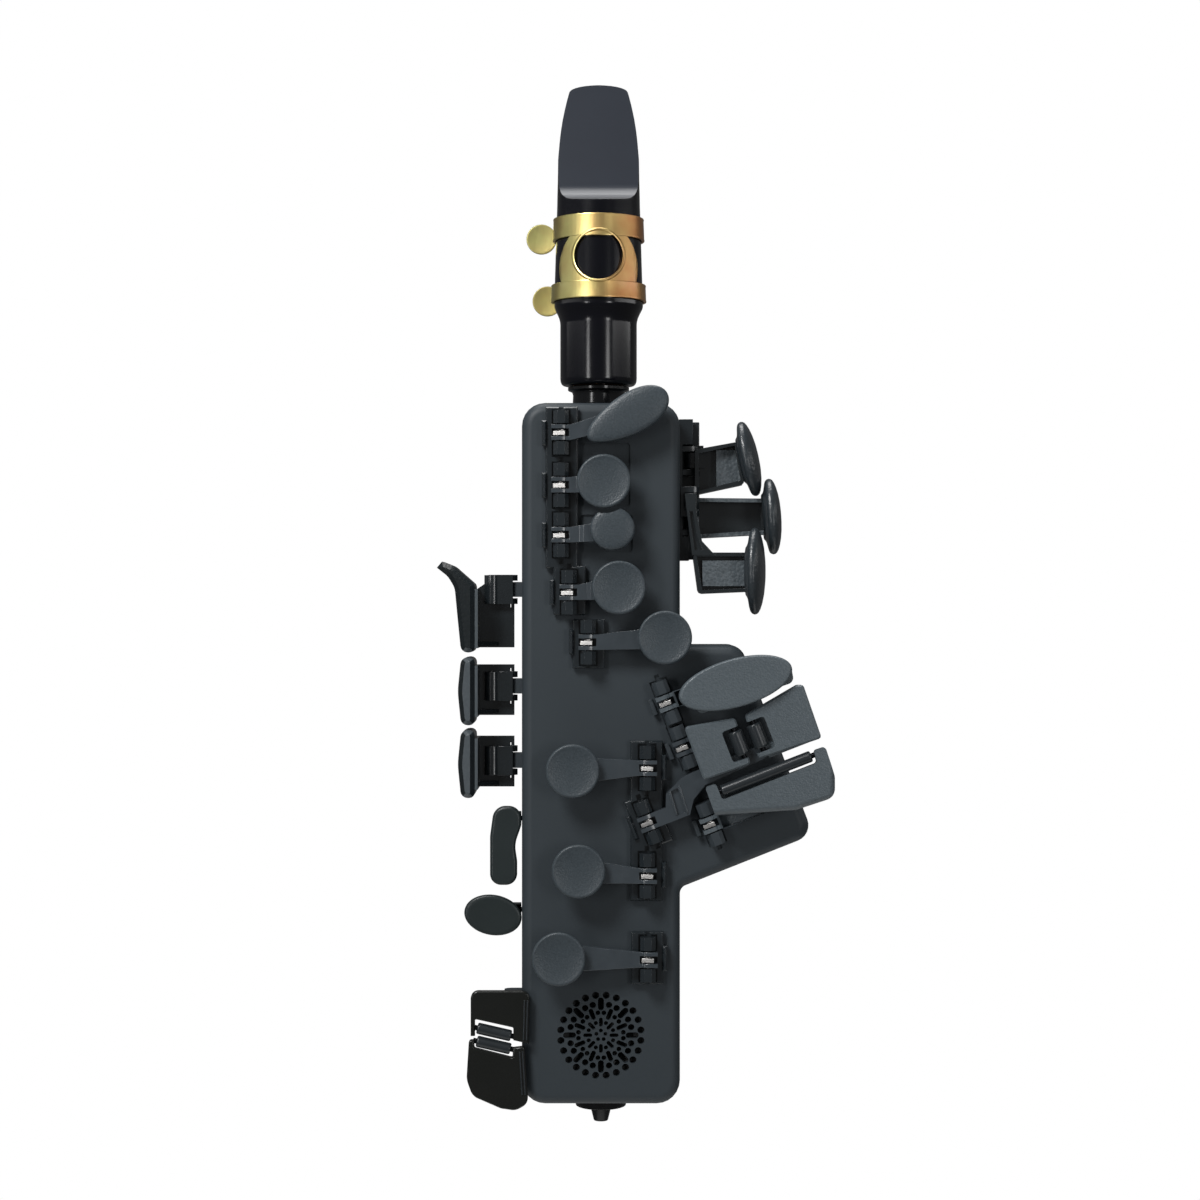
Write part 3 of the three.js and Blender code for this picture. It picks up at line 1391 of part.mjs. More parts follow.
// Neck, mouthpiece and what is on it, all turned about the neck's axis.
const neck_top = body_top + seat_gap + neck_height + neck_collar_height;
const mouth_bottom = neck_top + seat_gap;
const mouth_tip = mouth_bottom + mouthpiece_length;
const barrel_bottom = mouth_bottom + shank_length;
const barrel_top = mouth_tip - beak_length;
const barrelRadius = (z) => {
  const share = (z - barrel_bottom - shoulder_length) / (barrel_top - barrel_bottom - shoulder_length);
  return barrel_radius + (barrel_neck_radius - barrel_radius) * Math.min(Math.max(share, 0), 1);
};

function neckTube() {
  const bottom = body_top - spigot_length;
  const flange = body_top + seat_gap;
  const profile = [
    [neck_bore_radius, bottom],
    [spigot_radius, bottom],
    [spigot_radius, flange],
    [neck_radius, flange],
    [neck_radius, neck_top - neck_collar_height],
    [neck_collar_radius, neck_top - neck_collar_height],
    [neck_collar_radius, neck_top],
    [tenon_radius, neck_top],
    [tenon_radius, neck_top + tenon_length],
    [neck_bore_radius, neck_top + tenon_length],
    [neck_bore_radius, bottom],
  ];
  return turnedZ(profile, fine_sides);
}

function neckCork() {
  const inner = tenon_radius + seat_gap;
  const [low, high] = [neck_top + seat_gap, neck_top + tenon_length];
  const outer = inner + cork_thickness;
  return turnedZ([[inner, low], [outer, low], [outer, high], [inner, high], [inner, low]], fine_sides);
}

function barrelBlank(bottom, top, inner_gap = 0) {
  const heights = [bottom, barrel_top, top].filter((z, i, all) => i !== 1 || (z > all[0] && z < all[2]));
  const side = heights.map((z) => [barrelRadius(z) + inner_gap, z]);
  return turnedZ([[0, bottom], ...side, [0, top]], fine_sides);
}

// One side of the beak's plan, from its foot to the tip.
const beakSide = (side) => beak_plan_shares.map(([half, drop]) =>
  [side * half * barrel_neck_radius, mouth_tip - drop * beak_length]);

function mouthpiece() {
  const blank = turnedZ([
    [0, mouth_bottom],
    [shank_radius - shank_edge, mouth_bottom],
    [shank_radius, mouth_bottom + shank_edge],
    [shank_radius, barrel_bottom],
    ...shoulder_shares.map(([out, up]) =>
      [shank_radius + out * (barrel_radius - shank_radius), barrel_bottom + up * shoulder_length]),
    [barrel_neck_radius, barrel_top],
    [barrel_neck_radius, mouth_tip],
    [0, mouth_tip],
  ], fine_sides);
  const far = 2 * barrel_radius;
  const beak_front = table_flat - beak_tip;
  const ledgeAt = (y) => barrel_top + (barrel_neck_radius + y) * beak_ledge_share;
  const scoop = outline([
    [-far, ledgeAt(-far), 0],
    [-beak_sag, ledgeAt(-beak_sag), beak_ledge],
    [beak_front, mouth_tip, 0],
    [beak_front, mouth_tip + overrun, 0],
    [-far, mouth_tip + overrun, 0],
  ]);
  const plan = outline([
    [-far, mouth_bottom - overrun],
    [far, mouth_bottom - overrun],
    [far, barrel_top - beak_ledge],
    [barrel_neck_radius, barrel_top - beak_ledge],
    ...beakSide(1),
    ...beakSide(-1).reverse(),
    [-barrel_neck_radius, barrel_top - beak_ledge],
    [-far, barrel_top - beak_ledge],
  ]);
  const table_bottom = mouth_tip - reed_length - seat_gap;
  const window_foot = mouth_tip - beak_tip - window_length;
  const window_shape = outline([
    [table_flat + overrun, window_foot],
    [table_flat + overrun, mouth_tip - 2 * beak_tip],
    [table_flat - window_sink, mouth_tip - 2 * beak_tip],
    [beak_sag / 2, window_foot],
  ]);
  return cut(
    common(blank, prism(plan, far, -far, 0, 2)),
    crossbar(scoop, 2 * far),
    block(-far, far, table_flat, far, table_bottom, mouth_tip + overrun),
    rodZ(bore_radius, bore_depth + overrun, fine_sides, 0, 0, mouth_bottom + (bore_depth - overrun) / 2),
    rodZ(chamber_radius, barrel_top - mouth_bottom - beak_ledge, knuckle_sides, 0, 0,
      (barrel_top + mouth_bottom - beak_ledge) / 2),
    crossbar(window_shape, 2 * window_half_width),
  );
}

function reed() {
  const face = table_flat + seat_gap;
  const far = 2 * barrel_radius;
  const bottom = mouth_tip - reed_length;
  const taper_foot = mouth_tip - reed_length * reed_taper_share;
  const shape = outline([
    [face, bottom],
    [far, bottom],
    [far, taper_foot],
    [barrel_neck_radius, taper_foot],
    [face + reed_tip, mouth_tip - seat_gap],
    [face, mouth_tip - seat_gap],
  ]);
  const plan = outline([
    [-tip_half_width + seat_gap, bottom],
    [tip_half_width - seat_gap, bottom],
    [tip_half_width - seat_gap, mouth_tip - tip_arch],
    [0, mouth_tip - seat_gap, 2 * tip_half_width],
    [-tip_half_width + seat_gap, mouth_tip - tip_arch],
  ]);
  return common(barrelBlank(bottom, mouth_tip), crossbar(shape, 2 * far), prism(plan, far, 0, 0, 2));
}

const ligature_top = mouth_tip - ligature_drop;
const ligature_bottom = ligature_top - ligature_height;
const band_middles = [ligature_top - upper_band_height / 2, ligature_bottom + lower_band_height / 2];
const screw_y = barrel_radius + seat_gap + band_thickness + ligature_lug_height / 2;

function ligature() {
  const gap = seat_gap;
  const outer = barrelBlank(ligature_bottom, ligature_top, gap + band_thickness);
  const inner = barrelBlank(ligature_bottom - overrun, ligature_top + overrun, gap);
  const sleeve = cut(outer, inner);
  const far = 2 * barrel_radius;
  const bands = [[ligature_top - upper_band_height, ligature_top],
    [ligature_bottom, ligature_bottom + lower_band_height]];
  const middle = (ligature_top + ligature_bottom) / 2;
  const panel = egg(panel_half_width, panel_half_height, 0, 0, fine_sides, 0, middle - panel_drop);
  const oval = prism(panel, 0, -far);
  const pattern = join(...bands.map(([low, high]) => prism(rectangle(-far, low, far, high), far, -far)), oval);
  const lip = cut(
    rodY(panel_hole_radius + band_thickness, far, fine_sides, 0, -far / 2, middle),
    rodY(panel_hole_radius, 3 * far, fine_sides, 0, 0, middle),
  );
  const lip_shell = common(lip, cut(
    barrelBlank(ligature_bottom, ligature_top, gap + 2 * band_thickness),
    barrelBlank(ligature_bottom - overrun, ligature_top + overrun, gap + band_thickness / 2),
  ));
  const slit_half = ligature_slit / 2;
  const lugs = bands.flatMap(([low, high]) => [-1, 1].map((side) => {
    const x = side * (slit_half + ligature_lug_thickness / 2);
    const half = ligature_lug_thickness / 2;
    return block(x - half, x + half, table_flat, screw_y + ligature_lug_height / 2, low, high);
  }));
  const slit = block(-slit_half, slit_half, 0, far, ligature_bottom - overrun, ligature_top + overrun);
  const screw_bores = band_middles.map((z) =>
    rodX(screw_radius + bore_clearance, far, bore_sides, 0, screw_y, z));
  return cut(
    join(
      cut(common(sleeve, pattern), rodY(panel_hole_radius, far, fine_sides, 0, -far / 2, middle)),
      lip_shell,
      ...lugs,
    ),
    slit,
    inner,
    ...screw_bores,
  );
}

function ligatureScrew(paddle_out) {
  const paddle_x = -paddle_out;
  const start = ligature_slit / 2 + 2 * ligature_lug_thickness + overrun;
  const length = start - paddle_x;
  const half = paddle_thickness / 2;
  const paddle = prism(disc(paddle_radius, paddle_x, 0, cap_sides), half, -half);
  return join(paddle, rodX(screw_radius, length, pin_sides, (start + paddle_x) / 2, 0, 0));
}

function drainSpout() {
  const top = down(1) - seat_gap;
  const flange = top - spout_flange_height;
  const tip = flange - spout_length;
  return turnedZ([
    [spout_bore_radius, tip],
    [spout_tip_radius, tip],
    [spout_radius, flange],
    [spout_flange_radius - spout_flange_edge, flange],
    [spout_flange_radius, flange + spout_flange_edge],
    [spout_flange_radius, top],
    [spout_bore_radius, top],
    [spout_bore_radius, tip],
  ], knuckle_sides * 2);
}

function addNeckAndMouthpiece() {
  const neck = frameAt(instrument, across(neck_shift_share), 0, 0);
  add(neck, "neck_tube", neckTube(), neck_plastic);
  add(neck, "neck_cork", neckCork(), cork);
  add(neck, "mouthpiece", mouthpiece(), ebonite);
  add(neck, "reed", reed(), cane);
  add(neck, "ligature", ligature(), lacquered_brass);
  ["upper", "lower"].forEach((name, i) => {
    const frame = frameAt(neck, 0, screw_y, band_middles[i]);
    add(frame, "ligature_screw_" + name, ligatureScrew(paddle_outs[i]), lacquered_brass);
  });
  add(instrument, "drain_spout", drainSpout(), neck_plastic);
}

// Pieces on the back
function strapEye() {
  const seat = half_depth + seat_gap;
  const plate_back = seat + eye_base_depth;
  const plate = block(-eye_base_width / 2, eye_base_width / 2, seat, plate_back,
    -eye_base_length / 2, eye_base_length / 2);
  const middle = half_depth + eye_stand_off;
  const ring = crossbar(disc(eye_radius, middle, 0), eye_thickness);
  const hole = crossbar(disc(eye_hole_radius, middle, 0), eye_thickness + 2 * overrun);
  const trimmed = cut(ring, block(-eye_thickness, eye_thickness, 0, seat + weld, -eye_radius, eye_radius));
  return cut(join(plate, trimmed), hole);
}

function thumbRest() {
  const z = down(thumb_rest_drop_share);
  const profile = [
    [0, 0],
    ...thumb_rest_shares.map(([r, h]) => [r * thumb_rest_radius, h * thumb_rest_height]),
  ];
  return turned(profile, cap_sides).translate(0, half_depth + seat_gap, z);
}

function thumbHook() {
  const z = down(hook_drop_share);
  const seat = half_depth + seat_gap;
  const plate_back = seat + hook_base_thickness;
  const tip = seat + hook_reach;
  const half = hook_base_length / 2;
  const shape = outline([
    [seat, z - half],
    [plate_back, z - half],
    [plate_back, z, hook_thickness],
    [tip - hook_thickness, z, hook_inner_bend],
    [tip - hook_thickness, z - hook_lip, hook_tip_radius],
    [tip, z - hook_lip, hook_tip_radius],
    [tip, z + hook_thickness, hook_outer_bend],
    [plate_back, z + hook_thickness, hook_thickness],
    [plate_back, z + half],
    [seat, z + half],
  ]);
  return crossbar(shape, hook_width, 0, 3);
}

function addBackPieces() {
  add(instrument, "strap_eye", strapEye(), lacquered_brass);
  add(instrument, "thumb_rest", thumbRest(), touch_plastic);
  add(instrument, "thumb_hook", thumbHook(), lever_plastic);
  add(frameAt(instrument, ...octave_frame), "octave_key", octaveKey(), lever_plastic);
}

// Pieces inside
function circuitBoard() {
  const [top, bottom] = board_shares.map(down);
  const half = half_width * board_width_share;
  const front = front_y + wall + board_stand_off + seat_gap;
  return block(-half, half, front, front + board_thickness, bottom, top);
}

function battery() {
  const back = half_depth - wall - seat_gap;
  const z = down(battery_drop_share);
  const half = half_width - wall - battery_room;
  const shape = rectangle(-half, z - battery_length / 2, half, z + battery_length / 2, wall);
  return prism(shape, back, back - battery_thickness, wall / 4);
}

function speaker() {
  const front = front_y + wall + seat_gap;
  const section = speaker_shares.map(([r, h]) => [r * speaker_radius, h * speaker_depth]);
  return turned(section, fine_sides).translate(0, front, down(grille_down_share));
}

function breathSensor() {
  const board_back = front_y + wall + board_stand_off + seat_gap + board_thickness;
  const base = board_back + seat_gap;
  const z = down(board_shares[0]) - sensor_drop;
  const half = sensor_width / 2;
  const x = across(neck_shift_share);
  return join(
    block(x - half, x + half, base, base + sensor_height, z - half, z + half),
    rodZ(sensor_nipple_radius, half, bore_sides, x, base + sensor_height / 2, z + half + half / 2 - weld),
  );
}

function addInsides() {
  add(instrument, "circuit_board", circuitBoard(), board_green);
  add(instrument, "battery", battery(), battery_wrap);
  add(instrument, "speaker", speaker(), speaker_black);
  add(instrument, "breath_sensor", breathSensor(), speaker_black);
}

add(instrument, "front_shell", frontShell(), housing_plastic);
add(instrument, "rear_shell", rearShell(), housing_plastic);
addRails();
stack_keys.forEach(addStackKey);
addTableKeys();
addSideHingedKeys();
addNeckAndMouthpiece();
addBackPieces();
addInsides();

export default instrument;
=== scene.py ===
import json
import math

import bmesh
import bpy
from mathutils import Matrix, Vector


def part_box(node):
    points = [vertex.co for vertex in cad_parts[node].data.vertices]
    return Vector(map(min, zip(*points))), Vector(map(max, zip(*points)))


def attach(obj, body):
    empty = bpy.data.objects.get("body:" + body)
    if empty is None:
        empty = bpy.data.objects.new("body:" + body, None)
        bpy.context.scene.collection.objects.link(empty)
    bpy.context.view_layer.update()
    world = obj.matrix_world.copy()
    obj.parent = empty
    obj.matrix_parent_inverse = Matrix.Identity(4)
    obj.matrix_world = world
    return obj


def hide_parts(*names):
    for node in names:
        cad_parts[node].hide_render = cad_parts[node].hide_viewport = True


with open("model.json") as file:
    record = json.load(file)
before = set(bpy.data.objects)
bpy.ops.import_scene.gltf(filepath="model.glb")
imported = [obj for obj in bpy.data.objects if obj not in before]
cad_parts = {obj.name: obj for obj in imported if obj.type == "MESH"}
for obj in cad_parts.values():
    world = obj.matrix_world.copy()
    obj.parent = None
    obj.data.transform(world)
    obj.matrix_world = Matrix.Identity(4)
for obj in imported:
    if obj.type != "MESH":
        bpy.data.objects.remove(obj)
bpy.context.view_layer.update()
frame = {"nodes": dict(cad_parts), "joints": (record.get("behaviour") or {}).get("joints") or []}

# Camera, floor and light
# The instrument hangs upright and is seen square from the front. Two tall softboxes stand left and right of the
# camera and give the mouthpiece its two streaks. The key light is high on the left and near, so the light falls off
# towards the foot. One straight above lights the upper edges of the keys and the hollow of the mouthpiece, and a
# low strip on each side is there for the brass to mirror.
mm = 0.001
camera = bpy.data.objects.new("camera", bpy.data.cameras.new("camera"))
bpy.context.scene.collection.objects.link(camera)
camera.location = (-0.27 * mm, -735.5 * mm, 30 * mm)
camera.rotation_euler = (math.radians(90), 0, 0)
camera.data.lens = 70
camera.data.sensor_width = 36
bpy.context.scene.camera = camera
bpy.context.scene.view_settings.view_transform = "Standard"


def softbox(name, place, width, height, watts):
    """A soft studio lamp that faces the middle of the instrument."""
    lamp = bpy.data.lights.new(name, "AREA")
    lamp.shape = "RECTANGLE"
    lamp.size, lamp.size_y, lamp.energy = width, height, watts
    stand = bpy.data.objects.new(name, lamp)
    bpy.context.scene.collection.objects.link(stand)
    stand.location = place
    stand.rotation_euler = (Vector((0, 0, 0.03)) - Vector(place)).to_track_quat("-Z", "Y").to_euler()


softbox("left_softbox", (-0.62, -1.05, 0.04), 0.14, 0.40, 1.5)
softbox("right_softbox", (0.56, -1.08, 0.04), 0.18, 0.40, 1.5)
softbox("key_softbox", (-0.32, -0.52, 0.52), 0.24, 0.24, 4.4)
softbox("overhead_softbox", (0, 0.10, 1.05), 0.80, 0.60, 9)
softbox("left_strip", (-0.95, -0.25, 0.27), 1.30, 0.07, 0.3)
softbox("right_strip", (0.95, -0.25, 0.27), 1.30, 0.07, 0.9)


def linear(code):
    """An sRGB hex colour as the linear values that a shader takes."""
    parts = [int(code[i:i + 2], 16) / 255 for i in (0, 2, 4)]
    return [c / 12.92 if c <= 0.04045 else ((c + 0.055) / 1.055) ** 2.4 for c in parts] + [1]


def add_node(tree, kind, settings=None, **inputs):
    """Adds a node, sets what it is told and links the sockets that it is given."""
    node = tree.nodes.new(kind)
    for name, value in (settings or {}).items():
        setattr(node, name, value)
    for name, value in inputs.items():
        socket = node.inputs[name.replace("_", " ")]
        if isinstance(value, bpy.types.NodeSocket):
            tree.links.new(value, socket)
        else:
            socket.default_value = value
    return node


def new_finish(name, **values):
    """A new material with the values that its shader is given. Returns the material, its tree and its shader."""
    finish = bpy.data.materials.new(name)
    finish.use_nodes = True
    shader = finish.node_tree.nodes["Principled BSDF"]
    for socket, value in values.items():
        shader.inputs[socket.replace("_", " ")].default_value = value
    return finish, finish.node_tree, shader


# The room lights the object at 0.1 of white, while the eye sees it white.
world = bpy.data.worlds.new("white_room")
bpy.context.scene.world = world
world.use_nodes = True
world.node_tree.nodes.clear()
ray = add_node(world.node_tree, "ShaderNodeLightPath")
seen = add_node(world.node_tree, "ShaderNodeMath", {"operation": "MAXIMUM"})
world.node_tree.links.new(ray.outputs["Is Camera Ray"], seen.inputs[0])
world.node_tree.links.new(ray.outputs["Is Transmission Ray"], seen.inputs[1])
level = add_node(world.node_tree, "ShaderNodeMapRange", Value=seen.outputs[0], To_Min=0.1, To_Max=1.0)
room = add_node(world.node_tree, "ShaderNodeBackground", Color=(1, 1, 1, 1), Strength=level.outputs[0])
add_node(world.node_tree, "ShaderNodeOutputWorld", Surface=room.outputs[0])

floor_shape = bmesh.new()
bmesh.ops.create_circle(floor_shape, cap_ends=True, segments=96, radius=0.45,
                        matrix=Matrix.Translation((0, 0, -0.48)))
floor_mesh = bpy.data.meshes.new("floor")
floor_shape.to_mesh(floor_mesh)
floor_shape.free()
floor = bpy.data.objects.new("floor", floor_mesh)
bpy.context.scene.collection.objects.link(floor)
# The floor is matt paper, a little off white.
floor_mesh.materials.append(new_finish("pale_floor_paint", Base_Color=linear("F4F4F2"), Roughness=0.8)[0])

# Housing
# Two moulded ABS shells that meet on a fine seam, with a wing on the right for the little-finger keys.
# Satin paint over the moulding: an even grey with a soft sheen on the rounded front edge.
def tone_and_bump(tree, shader, share, tones, height, strength, depth_mm, invert=False):
    """Colours a shader between two tones by one pattern, and raises its surface by another."""
    tone = add_node(tree, "ShaderNodeMixRGB", Fac=share, Color1=linear(tones[0]), Color2=linear(tones[1]))
    tree.links.new(tone.outputs[0], shader.inputs["Base Color"])
    bump = add_node(tree, "ShaderNodeBump", {"invert": invert}, Height=height, Strength=strength,
                    Distance=depth_mm * mm)
    tree.links.new(bump.outputs[0], shader.inputs["Normal"])


def moulded(name, dark, light, roughness, grain_mm, depth_mm, mottle_mm=9, sheen=0.5, pebbled=False):
    """A moulded or painted plastic: two close tones in soft clouds, and a fine or pebbled grain."""
    finish, tree, shader = new_finish(name, Roughness=roughness, IOR=1.5, Specular_IOR_Level=sheen)
    place = add_node(tree, "ShaderNodeTexCoord").outputs["Object"]
    cloud = add_node(tree, "ShaderNodeTexNoise", Vector=place, Scale=1 / (mottle_mm * mm), Detail=3.0)
    if pebbled:
        grain = add_node(tree, "ShaderNodeTexVoronoi", Vector=place, Scale=1 / (grain_mm * mm)).outputs["Distance"]
    else:
        grain = add_node(tree, "ShaderNodeTexNoise", Vector=place, Scale=1 / (grain_mm * mm), Detail=4.0,
                         Roughness=0.6).outputs["Fac"]
    tone_and_bump(tree, shader, cloud.outputs["Fac"], (dark, light), grain, 1.0, depth_mm, pebbled)
    return finish


# Satin paint is near-black blue-grey, with orange peel too fine to see, drawn at 0.5 mm.
satin_paint = moulded("satin_paint_on_abs", "333A3F", "383F44", 0.5, 0.5, 0.006, 30, 0.35)


def put(shape, name, finish, body, replaced=(), edge=0, hard=35):
    """Makes a piece of the object from a bmesh. An edge in millimetres rounds what is sharper than the hard angle."""
    for face in shape.faces:
        face.smooth = True
    for line in shape.edges:
        line.smooth = line.calc_face_angle(0) < math.radians(hard)
    mesh = bpy.data.meshes.new(name)
    shape.to_mesh(mesh)
    shape.free()
    piece = bpy.data.objects.new(name, mesh)
    bpy.context.scene.collection.objects.link(piece)
    for coat in finish if isinstance(finish, list) else [finish]:
        mesh.materials.append(coat)
    if edge:
        rounding = piece.modifiers.new("moulded_edges", "BEVEL")
        rounding.width = edge * mm
        rounding.segments = 2
        rounding.limit_method = "ANGLE"
        rounding.angle_limit = math.radians(hard)
    piece.modifiers.new("flat_faces", "WEIGHTED_NORMAL").keep_sharp = True
    if replaced:
        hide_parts(*replaced)
    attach(piece, body)
    return piece


def shift(x, y, z):
    """Matrix of a shift in millimetres."""
    return Matrix.Translation((x * mm, y * mm, z * mm))


def prism(corners, front, back, inset=0, front_fillet=0, back_fillet=0, steps=6):
    """A plate in X and Z between two depths. Corners are (x, z, radius) in millimetres, in order round the plate."""
    shape = bmesh.new()
    points = [shape.verts.new((x * mm, front * mm, z * mm)) for x, z, _ in corners]
    shape.faces.new(points)
    tangents = []
    for i, (x, z, radius) in enumerate(corners):
        here = Vector((x, z))
        to_before = Vector(corners[i - 1][:2]) - here
        to_after = Vector(corners[(i + 1) % len(corners)][:2]) - here
        tangents.append(radius / math.tan(to_before.angle(to_after) / 2))
    for point, tangent in zip(points, tangents):
        if tangent:
            bmesh.ops.bevel(shape, geom=[point], offset=tangent * mm, offset_type="OFFSET", segments=steps,
                            profile=0.5, affect="VERTICES", material=-1)
    if inset:
        inner = bmesh.ops.inset_region(shape, faces=list(shape.faces), thickness=inset * mm, use_even_offset=True,
                                        use_boundary=True)
        bmesh.ops.delete(shape, geom=inner["faces"], context="FACES")
    face = list(shape.faces)[0]
    moved = bmesh.ops.extrude_face_region(shape, geom=[face])["geom"]
    top_points = [part for part in moved if isinstance(part, bmesh.types.BMVert)]
    bmesh.ops.translate(shape, verts=top_points, vec=(0, (back - front) * mm, 0))
    bmesh.ops.recalc_face_normals(shape, faces=shape.faces)
    for depth, fillet in ((front, front_fillet), (back, back_fillet)):
        if fillet:
            rim = [line for line in shape.edges if all(abs(v.co.y - depth * mm) < 1e-6 for v in line.verts)]
            bmesh.ops.bevel(shape, geom=rim, offset=fillet * mm, offset_type="OFFSET", segments=steps, profile=0.5,
                            affect="EDGES", material=-1)
    return shape


def carve(shape, tool, operation="DIFFERENCE"):
    """One bmesh cut by another, joined with it or kept within it."""
    blanks = []
    for part in (shape, tool):
        mesh = bpy.data.meshes.new("blank")
        part.to_mesh(mesh)
        part.free()
        blanks.append(bpy.data.objects.new("blank", mesh))
        bpy.context.scene.collection.objects.link(blanks[-1])
    cutting = blanks[0].modifiers.new("cut", "BOOLEAN")
    cutting.object, cutting.operation, cutting.solver = blanks[1], operation, "EXACT"
    graph = bpy.context.evaluated_depsgraph_get()
    made = bmesh.new()
    made.from_mesh(bpy.data.meshes.new_from_object(blanks[0].evaluated_get(graph)))
    for blank in blanks:
        bpy.data.objects.remove(blank)
    return made


def together(*shapes):
    """Several closed bmeshes in one."""
    whole = bmesh.new()
    for shape in shapes:
        mesh = bpy.data.meshes.new("share")
        shape.to_mesh(mesh)
        whole.from_mesh(mesh)
        shape.free()
    return whole


def block(low, high, edge=0, matrix=None):
    """A box between two corners in millimetres, with its edges rounded."""
    shape = bmesh.new()
    bmesh.ops.create_cube(shape, size=mm)
    size = [h - l for l, h in zip(low, high)]
    bmesh.ops.scale(shape, vec=size, verts=shape.verts)
    bmesh.ops.translate(shape, vec=[(l + h) / 2 * mm for l, h in zip(low, high)], verts=shape.verts)
    if edge:
        bmesh.ops.bevel(shape, geom=list(shape.edges), offset=edge * mm, offset_type="OFFSET", segments=2,
                        profile=0.5, affect="EDGES", material=-1)
    if matrix:
        bmesh.ops.transform(shape, matrix=matrix, verts=shape.verts)
    return shape


def turned(profile, steps=64, matrix=None, ring=False):
    """A turned piece: (radius, height) points in millimetres spun about Z. A ring's profile closes on itself."""
    shape = bmesh.new()
    points = [shape.verts.new((radius * mm, 0, height * mm)) for radius, height in profile]
    lines = [shape.edges.new(pair) for pair in zip(points, points[1:])]
    if ring:
        lines.append(shape.edges.new((points[-1], points[0])))
    bmesh.ops.spin(shape, geom=points + lines, cent=(0, 0, 0), axis=(0, 0, 1), angle=2 * math.pi, steps=steps,
                   use_merge=True)
    bmesh.ops.remove_doubles(shape, verts=shape.verts, dist=1e-7)
    bmesh.ops.recalc_face_normals(shape, faces=shape.faces)
    if matrix:
        bmesh.ops.transform(shape, matrix=matrix, verts=shape.verts)
    return shape


def merged_copy(node):
    """A copy of a CAD solid with its corners merged and its flat faces made whole."""
    shape = bmesh.new()
    shape.from_mesh(frame["nodes"][node].data)
    bmesh.ops.remove_doubles(shape, verts=shape.verts, dist=0.005 * mm)
    bmesh.ops.dissolve_limit(shape, angle_limit=math.radians(1), verts=shape.verts, edges=shape.edges)
    return shape


def hinge_place(joint):
    """Matrix of an open hinge: Z along its pin, X towards the touch, Y into the housing."""
    pin = Vector(joint["axis"]).normalized()
    inward = Vector((0, 1, 0)) if joint["pos_m"][1] < 0 and abs(pin.x) < 0.9 else Vector((0, -1, 0))
    turn = Matrix((inward.cross(pin), inward, pin)).transposed().to_4x4()
    return Matrix.Translation(joint["pos_m"]) @ turn


stack_names = ["front_f", "b", "bis", "a", "g", "f", "e", "d"]
table_names = ["g_sharp", "c_sharp", "low_b", "low_b_flat"]
joint_of = {joint["name"].removesuffix("_press"): joint for joint in frame["joints"]}
place_of = {name: hinge_place(joint_of[name]) for name in stack_names + table_names + ["octave"]}

half_width, body_foot, body_top, body_length = 23.8, -121.62, 89.38, 211
housing_corners = [(-half_width, body_foot, 7), (half_width, body_foot, 7), (half_width, -56.63, 2.5), (64, -40.7, 5),
                   (42.05, 16.48, 5), (half_width, 16.48, 2.2), (half_width, body_top, 7), (-half_width, body_top, 7)]
body_corners = housing_corners[:2] + housing_corners[-2:]
front_face, seam, back_face, wing_back, middle_depth, wall = -35.5, -18.7, -7.5, -15.34, -21.5, 2.2
hinge_floor, post_middle, post_half = 5.37, 4.65, 1.95
pocket_low, pocket_high = (-2.8, 2, -7.1), (2.8, hinge_floor, 7.1)

front = prism(housing_corners, front_face, seam, front_fillet=3.2)
front = carve(front, prism(housing_corners, front_face + wall, seam + 1, inset=wall))
# Two shallow wells lie under the B and the bis touch.
wells = [(-6.43, 58.15, 8.81, 77.14), (-6.43, 44.44, 9.52, 55.62)]
for left, low, right, high in wells:
    well = prism([(left, low, 1), (right, low, 1), (right, high, 1), (left, high, 1)], front_face - 1, front_face + 0.8)
    front = carve(front, well)
# The posts of three table hinges stand in pockets, with a slot at each end for the pin.
shell_hinges = [place_of[name] for name in ("g_sharp", "c_sharp", "low_b_flat")]
for place in shell_hinges:
    front = carve(front, block(pocket_low, pocket_high, matrix=place))
    front = carve(front, block((-0.7, 2, -8.6), (0.7, hinge_floor, 8.6), matrix=place))

# The grille is moulded into the front: rings of round holes, with short slots between the inner ones.
# Each ring has its radius, places, turn in places, hole radius, a slot every so many places, and the slot's half
# length and half width.
grille_centre = (0, -100.6)
rings = [(12.1, 24, 0.5, 1.08, 0, 0, 0), (9.4, 24, 0, 0.98, 3, 1.95, 0.92), (6.8, 24, 0.5, 0.74, 3, 1.75, 0.72),
         (3.95, 16, 0, 0.64, 2, 1.35, 0.58), (1.42, 5, 0.25, 0.6, 0, 0, 0)]
holes = []
for radius, places, turn, hole, slot_step, slot_half, slot_width in rings:
    for i in range(places):
        spoke = Matrix.Rotation(-2 * math.pi * (i + turn) / places, 4, "Y")
        spot = shift(grille_centre[0], front_face + 1, grille_centre[1]) @ spoke
        spot = spot @ shift(radius, 0, 0) @ Matrix.Rotation(math.pi / 2, 4, "X")
        drill = turned([(0, -2.6), (hole, -2.6), (hole, 2.6), (0, 2.6)], 16)
        if slot_step and i % slot_step == (1 if turn else 0):
            for point in drill.verts:
                point.co.y *= slot_width / hole
                point.co.x *= slot_width / hole
                point.co.x += math.copysign(slot_half - slot_width, point.co.x) * mm if abs(point.co.x) > 1e-7 else 0
        bmesh.ops.transform(drill, matrix=spot, verts=drill.verts)
        holes.append(drill)
front = carve(front, together(*holes))


